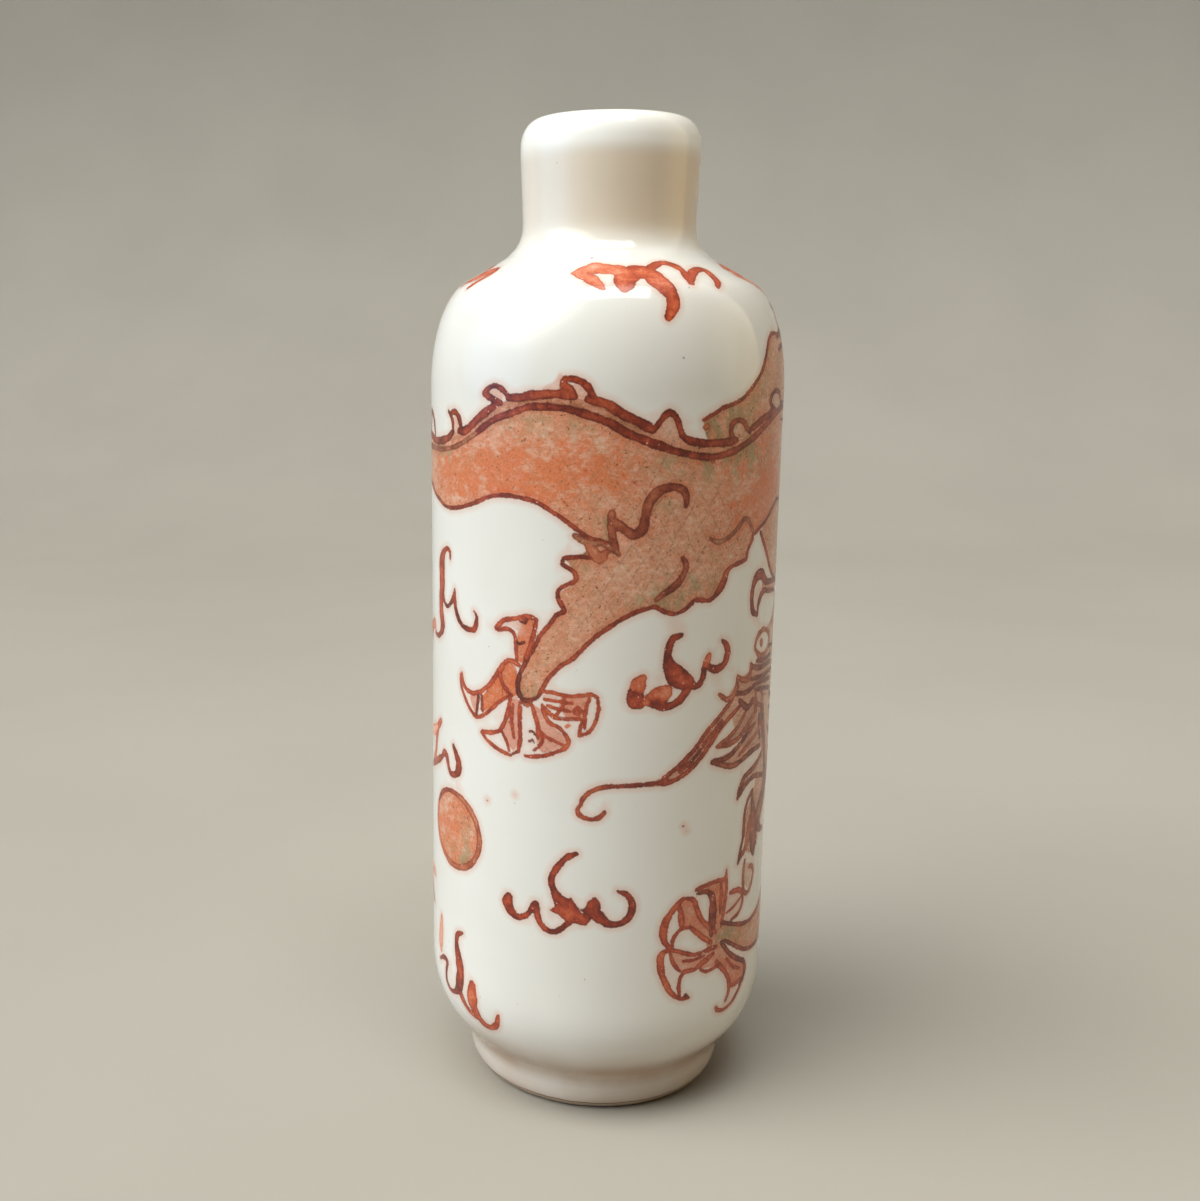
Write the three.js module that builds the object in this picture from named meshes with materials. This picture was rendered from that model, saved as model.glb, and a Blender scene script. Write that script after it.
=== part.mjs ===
import { Group, LatheGeometry, Mesh, MeshStandardMaterial, Vector2 } from 'three';

// A small porcelain snuff bottle, empty and without its stopper: a tall round body on a ring foot,
// with a sloping shoulder, a short neck and an open mouth. It was thrown and fired in one piece.
// Lengths are in millimetres and +Z is up. The origin is the middle of the foot's underside.

const bottleHeight = 78;
const bodyDiameter = 28;
const wallThickness = 2;

// The ring foot. It is widest a little below its top, and stands on a flat rim.
const footDiameter = 21.8;
const footHeight = 3.2;
const footTopRounding = 1;
const footRimDiameter = 18.9;
const footRimWidth = 1.5;
const footRecessDepth = 2;
const footRecessRounding = 0.7;

// The groove between foot and body, the corner that grows out of it, and the base of the hollow.
const grooveDepth = 0.45;
const lowerCornerHeight = 7;
const baseThickness = 2.4;
const cavityCornerRadius = 5;

// The shoulder: an oval rounding, then a straight slope up to the root of the neck.
const shoulderRoundingWidth = 3.6;
const shoulderRoundingHeight = 8.2;
const shoulderSlopeDegrees = 29.5;

// The neck, measured down from the top of the lip, and the mouth that runs through it.
const neckLength = 9.7;
const neckDiameter = 13.5;
const neckRootRadius = 3;
const mouthDiameter = 6.6;
const mouthEdgeRadius = 0.3;
const throatEdgeRadius = 0.8;

// The lip, flat on top round the mouth and rounded over outside.
const lipDiameter = 13.95;
const lipRoundingHeight = 1.6;
const lipFlatWidth = 1.2;

const sidesAround = 60;

const porcelain = new MeshStandardMaterial({ color: 0xebe7df, roughness: 0.15, metalness: 0 });

const radians = (degrees) => (degrees * Math.PI) / 180;

// Points on an oval round (centreR, centreZ). Angles run from the outward direction towards +Z.
function ovalArc(centreR, centreZ, radiusR, radiusZ, fromDegrees, toDegrees, steps) {
  const points = [];
  for (let i = 0; i <= steps; i += 1) {
    const angle = radians(fromDegrees + ((toDegrees - fromDegrees) * i) / steps);
    points.push(new Vector2(centreR + radiusR * Math.cos(angle), centreZ + radiusZ * Math.sin(angle)));
  }
  return points;
}

// The underside, from the middle of the recess to the outer edge of the rim that the bottle stands on.
function undersideProfile() {
  const rimRadius = footRimDiameter / 2;
  const recessRadius = rimRadius - footRimWidth;
  const rounding = footRecessRounding;
  return [
    new Vector2(0, footRecessDepth),
    ...ovalArc(recessRadius - rounding, footRecessDepth - rounding, rounding, rounding, 90, 0, 3),
    new Vector2(recessRadius, 0),
    new Vector2(rimRadius, 0),
  ];
}

// The outside of the foot: it swells out from the rim, then rounds over into the groove.
function footProfile() {
  const rimRadius = footRimDiameter / 2;
  const footRadius = footDiameter / 2;
  const widestHeight = footHeight - footTopRounding;
  const swelling = ovalArc(rimRadius, widestHeight, footRadius - rimRadius, widestHeight, -90, 0, 6);
  const top = ovalArc(footRadius - grooveDepth, widestHeight, grooveDepth, footTopRounding, 0, 90, 4);
  return [...swelling.slice(1), ...top.slice(1)];
}

// The body's lower corner, a quarter of an oval that grows out of the groove.
function lowerCornerProfile() {
  const grooveRadius = footDiameter / 2 - grooveDepth;
  const cornerWidth = bodyDiameter / 2 - grooveRadius;
  const cornerTop = footHeight + lowerCornerHeight;
  return ovalArc(grooveRadius, cornerTop, cornerWidth, lowerCornerHeight, -90, 0, 10).slice(1);
}

// A shoulder from the straight wall at wallRadius up to the neck or throat at neckRadius.
// The slope meets the neck's wall at rootHeight, and a fillet of rootRadius softens that corner.
function shoulderProfile(wallRadius, neckRadius, rootHeight, rootRadius, rounding) {
  const slope = Math.tan(radians(shoulderSlopeDegrees));
  const endAngle = Math.atan2(rounding.height, rounding.width * slope);
  const centreRadius = wallRadius - rounding.width;
  const endRadius = centreRadius + rounding.width * Math.cos(endAngle);
  const endHeight = rootHeight - (endRadius - neckRadius) * slope;
  const startHeight = endHeight - rounding.height * Math.sin(endAngle);
  const endDegrees = (endAngle * 180) / Math.PI;
  const filletHeight = rootHeight + rootRadius * (1 / Math.cos(radians(shoulderSlopeDegrees)) - slope);
  const filletStart = -90 - shoulderSlopeDegrees;
  return [
    ...ovalArc(centreRadius, startHeight, rounding.width, rounding.height, 0, endDegrees, rounding.steps),
    ...ovalArc(neckRadius + rootRadius, filletHeight, rootRadius, rootRadius, filletStart, -180, 5),
  ];
}

// The neck widens gently into the lip, which rounds over to its flat top.
function neckAndLipProfile(neckStart) {
  const neckRadius = neckDiameter / 2;
  const lipRadius = lipDiameter / 2;
  const lipStart = bottleHeight - lipRoundingHeight;
  const flatRadius = mouthDiameter / 2 + mouthEdgeRadius + lipFlatWidth;
  const flareSteps = 5;
  const points = [];
  for (let i = 1; i < flareSteps; i += 1) {
    const share = i / flareSteps;
    const widening = share * share * (3 - 2 * share);
    const radius = neckRadius + (lipRadius - neckRadius) * widening;
    points.push(new Vector2(radius, neckStart + (lipStart - neckStart) * share));
  }
  points.push(...ovalArc(flatRadius, lipStart, lipRadius - flatRadius, lipRoundingHeight, 0, 90, 7));
  return points;
}

// The softened edge between the lip's flat top and the mouth.
function mouthProfile() {
  const edge = mouthEdgeRadius;
  return ovalArc(mouthDiameter / 2 + edge, bottleHeight - edge, edge, edge, 90, 180, 3);
}

// The hollow, from the throat down along the wall to the middle of its floor.
function cavityProfile(outerRootHeight) {
  const cavityRadius = bodyDiameter / 2 - wallThickness;
  const throatRadius = mouthDiameter / 2;
  const slope = Math.tan(radians(shoulderSlopeDegrees));
  const wallDrop = wallThickness / Math.cos(radians(shoulderSlopeDegrees));
  const throatHeight = outerRootHeight + (neckDiameter / 2 - throatRadius) * slope - wallDrop;
  const rounding = {
    width: Math.max(shoulderRoundingWidth - wallThickness, wallThickness / 4),
    height: Math.max(shoulderRoundingHeight - wallThickness, wallThickness / 4),
    steps: 6,
  };
  const shoulder = shoulderProfile(cavityRadius, throatRadius, throatHeight, throatEdgeRadius, rounding);
  const floor = footRecessDepth + baseThickness;
  const corner = Math.min(cavityCornerRadius, cavityRadius);
  return [
    ...shoulder.reverse(),
    ...ovalArc(cavityRadius - corner, floor + corner, corner, corner, 0, -90, 6),
    new Vector2(0, floor),
  ];
}

function makeBottle() {
  const rootHeight = bottleHeight - neckLength;
  const rounding = { width: shoulderRoundingWidth, height: shoulderRoundingHeight, steps: 9 };
  const shoulder = shoulderProfile(bodyDiameter / 2, neckDiameter / 2, rootHeight, neckRootRadius, rounding);
  const neckStart = shoulder[shoulder.length - 1].y;
  const profile = [
    ...undersideProfile(),
    ...footProfile(),
    ...lowerCornerProfile(),
    ...shoulder,
    ...neckAndLipProfile(neckStart),
    ...mouthProfile(),
    ...cavityProfile(rootHeight),
  ];
  const geometry = new LatheGeometry(profile, sidesAround);
  geometry.rotateX(Math.PI / 2);
  const bottle = new Mesh(geometry, porcelain);
  bottle.name = 'bottle';
  return bottle;
}

const snuffBottle = new Group();
snuffBottle.name = 'snuff_bottle';
snuffBottle.add(makeBottle());

export default snuffBottle;
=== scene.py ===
import math

import bpy
import numpy as np
from mathutils import Matrix, Vector
from mathutils.geometry import delaunay_2d_cdt


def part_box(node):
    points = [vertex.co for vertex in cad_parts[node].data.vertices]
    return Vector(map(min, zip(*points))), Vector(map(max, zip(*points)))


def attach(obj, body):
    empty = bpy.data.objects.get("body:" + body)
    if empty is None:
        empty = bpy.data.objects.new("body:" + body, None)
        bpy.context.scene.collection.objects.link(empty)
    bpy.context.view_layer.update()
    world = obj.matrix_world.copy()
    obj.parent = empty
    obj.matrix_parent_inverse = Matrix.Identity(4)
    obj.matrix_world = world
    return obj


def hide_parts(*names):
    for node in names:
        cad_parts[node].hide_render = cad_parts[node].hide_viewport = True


# A small porcelain snuff bottle, painted all round in iron red with a dragon among clouds.
# Lengths in the dictionaries are millimetres. The painted side faces -Y.

mm = 0.001
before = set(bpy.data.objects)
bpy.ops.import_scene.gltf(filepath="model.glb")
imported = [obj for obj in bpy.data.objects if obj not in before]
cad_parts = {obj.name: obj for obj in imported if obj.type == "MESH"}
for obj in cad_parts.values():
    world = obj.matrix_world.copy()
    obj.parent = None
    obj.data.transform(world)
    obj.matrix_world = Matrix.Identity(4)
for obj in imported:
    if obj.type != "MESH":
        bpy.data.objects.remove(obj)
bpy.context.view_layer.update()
nodeLow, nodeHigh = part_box("bottle")
print("frame loaded")

# the bottle's form; height and width are read from the frame. The sizes are the solid's own, apart from
# the lip's rounding and flat, the foot's height and top, and the lower corner, which are a little truer
bottle = {
    "height": nodeHigh.z / mm,
    "bodyDiameter": 2 * nodeHigh.x / mm,
    "wallThickness": 2.0,
    "footDiameter": 21.8,
    "footHeight": 3.6,
    "footTopRounding": 1.4,
    "footRimDiameter": 18.9,
    "footRimWidth": 1.5,
    "footRecessDepth": 2.0,
    "footRecessRounding": 0.7,
    "grooveDepth": 0.45,
    "lowerCornerHeight": 6.6,
    "baseThickness": 2.4,
    "cavityCornerRadius": 5.0,
    "shoulderRoundingWidth": 3.6,
    "shoulderRoundingHeight": 8.2,
    "shoulderSlopeDegrees": 29.5,
    "neckLength": 9.7,
    "neckDiameter": 13.5,
    "neckRootRadius": 3.0,
    "mouthDiameter": 6.6,
    "mouthEdgeRadius": 0.3,
    "throatEdgeRadius": 0.8,
    "lipDiameter": 13.95,
    "lipRoundingHeight": 2.1,
    "lipFlatWidth": 1.8,
    "glazeSoftening": 0.14,  # how far the glaze rounds every edge
    "grooveSoftening": 1.5,  # and in the groove above the foot, where it runs thick
    "softeningLift": 0.4,  # the middle of that, above the groove
    "softeningReach": 2.6,
    "rimKeptSharp": 1.6,
    "waviness": 0.05,  # how far the hand-thrown wall dips inwards
    "bareFootHeight": 0.95,  # unglazed line, measured up the foot from its rim
}
fineStep = 0.02  # between samples of the profile

# the mesh: square cells round the wall, split where a painted edge runs through them
mesh = {
    "columns": 92,
    "paintedLow": 5.2,
    "paintedRows": 69,
    "splits": 3,
    "ringTurnDegrees": 9.0,  # how far the profile turns between two rings
    "ringStep": 3.0,
    "hollowTurnDegrees": 18.0,  # the same inside, where little shows
    "hollowStep": 6.0,
}


def ovalArc(centreR, centreZ, radiusR, radiusZ, fromDegrees, toDegrees, step=0.04):
    sweep = math.radians(abs(toDegrees - fromDegrees))
    steps = max(int(sweep * max(radiusR, radiusZ) / step), 2)
    angles = np.radians(np.linspace(fromDegrees, toDegrees, steps + 1))
    return np.column_stack([centreR + radiusR * np.cos(angles), centreZ + radiusZ * np.sin(angles)])


def shoulderArc(wallRadius, neckRadius, rootHeight, rootRadius, width, height):
    # an oval rounding, a straight slope, then a fillet into the neck or throat
    slopeAngle = math.radians(bottle["shoulderSlopeDegrees"])
    slope = math.tan(slopeAngle)
    endAngle = math.atan2(height, width * slope)
    endRadius = wallRadius - width + width * math.cos(endAngle)
    endHeight = rootHeight - (endRadius - neckRadius) * slope
    startHeight = endHeight - height * math.sin(endAngle)
    filletHeight = rootHeight + rootRadius * (1 / math.cos(slopeAngle) - slope)
    turn = bottle["shoulderSlopeDegrees"]
    return [
        ovalArc(wallRadius - width, startHeight, width, height, 0, math.degrees(endAngle)),
        ovalArc(neckRadius + rootRadius, filletHeight, rootRadius, rootRadius, -90 - turn, -180),
    ]


def bottleProfile():
    # from the middle of the underside, up the outside, over the lip and down the hollow
    rimRadius = bottle["footRimDiameter"] / 2
    recessRadius = rimRadius - bottle["footRimWidth"]
    recessRound = bottle["footRecessRounding"]
    recessTop = bottle["footRecessDepth"]
    footRadius = bottle["footDiameter"] / 2
    grooveRadius = footRadius - bottle["grooveDepth"]
    widest = bottle["footHeight"] - bottle["footTopRounding"]
    bodyRadius = bottle["bodyDiameter"] / 2
    cornerTop = bottle["footHeight"] + bottle["lowerCornerHeight"]
    neckRadius = bottle["neckDiameter"] / 2
    lipRadius = bottle["lipDiameter"] / 2
    mouthRadius = bottle["mouthDiameter"] / 2
    edge = bottle["mouthEdgeRadius"]
    rootHeight = bottle["height"] - bottle["neckLength"]
    lipStart = bottle["height"] - bottle["lipRoundingHeight"]
    flatRadius = mouthRadius + edge + bottle["lipFlatWidth"]
    cavityRadius = bodyRadius - bottle["wallThickness"]
    slope = math.tan(math.radians(bottle["shoulderSlopeDegrees"]))
    wallDrop = bottle["wallThickness"] * math.sqrt(1 + slope * slope)
    throatHeight = rootHeight + (neckRadius - mouthRadius) * slope - wallDrop
    floorHeight = recessTop + bottle["baseThickness"]
    corner = bottle["cavityCornerRadius"]
    outerShoulder = shoulderArc(bodyRadius, neckRadius, rootHeight, bottle["neckRootRadius"],
                                bottle["shoulderRoundingWidth"], bottle["shoulderRoundingHeight"])
    innerShoulder = shoulderArc(cavityRadius, mouthRadius, throatHeight, bottle["throatEdgeRadius"],
                                bottle["shoulderRoundingWidth"] - bottle["wallThickness"],
                                bottle["shoulderRoundingHeight"] - bottle["wallThickness"])
    neckStart = outerShoulder[1][-1][1]
    share = np.linspace(0, 1, 40)
    flare = neckRadius + (lipRadius - neckRadius) * share * share * (3 - 2 * share)
    pieces = [
        [(0, recessTop)],
        ovalArc(recessRadius - recessRound, recessTop - recessRound, recessRound, recessRound, 90, 0),
        [(recessRadius, 0), (rimRadius, 0)],
        ovalArc(rimRadius, widest, footRadius - rimRadius, widest, -90, 0),
        ovalArc(grooveRadius, widest, bottle["grooveDepth"], bottle["footTopRounding"], 0, 90),
        ovalArc(grooveRadius, cornerTop, bodyRadius - grooveRadius, bottle["lowerCornerHeight"], -90, 0),
        *outerShoulder,
        np.column_stack([flare, neckStart + (lipStart - neckStart) * share]),
        ovalArc(flatRadius, lipStart, lipRadius - flatRadius, bottle["lipRoundingHeight"], 0, 90),
        ovalArc(mouthRadius + edge, bottle["height"] - edge, edge, edge, 90, 180),
        innerShoulder[1][::-1],
        innerShoulder[0][::-1],
        ovalArc(cavityRadius - corner, floorHeight + corner, corner, corner, 0, -90),
        [(0, floorHeight)],
    ]
    points = np.vstack([np.asarray(piece, float) for piece in pieces])
    gaps = np.hypot(*np.diff(points, axis=0).T)
    points = points[np.concatenate([[True], gaps > 1e-6])]
    length = np.concatenate([[0], np.cumsum(np.hypot(*np.diff(points, axis=0).T))])
    places = np.arange(0, length[-1], fineStep)
    smooth = np.column_stack([np.interp(places, length, points[:, k]) for k in range(2)])

    def softened(amount):
        # the glaze softens the edges: a small blur along the profile, mirrored where it meets the axis
        reach = int(3 * amount / fineStep)
        weights = np.exp(-0.5 * (np.arange(-reach, reach + 1) * fineStep / amount) ** 2)
        weights /= weights.sum()
        padded = np.vstack([smooth[reach:0:-1] * [-1, 1], smooth, smooth[-2:-reach - 2:-1] * [-1, 1]])
        return np.column_stack([np.convolve(padded[:, k], weights, mode="valid") for k in range(2)])

    blurred = softened(bottle["glazeSoftening"])
    outside = np.arange(len(smooth)) < np.argmax(smooth[:, 1])
    aboveGroove = smooth[:, 1] - bottle["footHeight"] - bottle["softeningLift"]
    nearGroove = np.exp(-(aboveGroove / bottle["softeningReach"]) ** 2) * outside
    nearGroove *= (smooth[:, 0] > rimRadius) * np.clip(smooth[:, 1] / bottle["rimKeptSharp"], 0, 1)
    blurred += nearGroove[:, None] * (softened(bottle["grooveSoftening"]) - blurred)
    blurred[0, 0] = blurred[-1, 0] = 0
    run = np.concatenate([[0], np.cumsum(np.hypot(*np.diff(blurred, axis=0).T))])
    return run, blurred


profileRun, profilePoints = bottleProfile()
lipTop = int(np.argmax(profilePoints[:, 1] > bottle["height"] - 0.001))
wallRadius = bottle["bodyDiameter"] / 2
onStraightWall = (profilePoints[:, 1] > 30) & (profilePoints[:, 0] > wallRadius - 0.1)
wallSample = int(np.argmax(onStraightWall))
runToHeight = profilePoints[wallSample, 1] - profileRun[wallSample]  # v is the height on the straight wall
halfTurn = math.pi * wallRadius


def profileAt(v):
    run = np.asarray(v) - runToHeight
    return np.interp(run, profileRun, profilePoints[:, 0]), np.interp(run, profileRun, profilePoints[:, 1])


def wallPoint(u, v):
    # u runs round the wall from the middle of the front, v up the wall
    angle = np.asarray(u) / wallRadius
    radius, height = profileAt(v)
    # two slow waves round and up the wall, calm towards the foot and the lip
    dips = 2 + np.sin(3 * angle + height / 7 + 1) + np.sin(2 * angle - height / 11 + 2.5)
    calm = np.clip(radius / wallRadius, 0, 1) ** 2 * np.clip(height / 6, 0, 1)
    calm = calm * np.clip((bottle["height"] - height) / 4, 0, 1)
    radius = radius - bottle["waviness"] * dips / 4 * calm
    return np.stack([radius * np.sin(angle), -radius * np.cos(angle), height], -1)


def wallNormal(u, v):
    step = 0.03
    around = wallPoint(np.asarray(u) + step, v) - wallPoint(np.asarray(u) - step, v)
    along = wallPoint(u, np.asarray(v) + step) - wallPoint(u, np.asarray(v) - step)
    normal = np.cross(around, along)
    return normal / np.maximum(np.linalg.norm(normal, axis=-1, keepdims=True), 1e-12)


print("profile", round(profileRun[-1], 1), "mm long")


# The painting, in places on the unrolled wall: u to the right of the front's middle, v upwards.
# A line is (tone, width, points), and a point may carry its own width as a third number.
# A fill is (warmth, moss, strength, points round it).
tones = {  # how brown the line is, and how thick the enamel lies
    "cloud": (0.05, 1.0),
    "cloudThin": (0.1, 0.55),
    "scroll": (0.0, 0.74),
    "scrollThin": (0.0, 0.48),
    "crest": (0.34, 0.98),
    "belly": (0.3, 0.85),
    "toe": (0.12, 0.68),
    "toeDark": (0.5, 0.95),
    "hair": (0.7, 0.9),
    "hairThin": (0.6, 0.6),
    "whisker": (0.35, 0.78),
    "moss": (1.0, 0.6),
    "hook": (0.7, 0.82),
    "faint": (0.0, 0.2),
}

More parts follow.
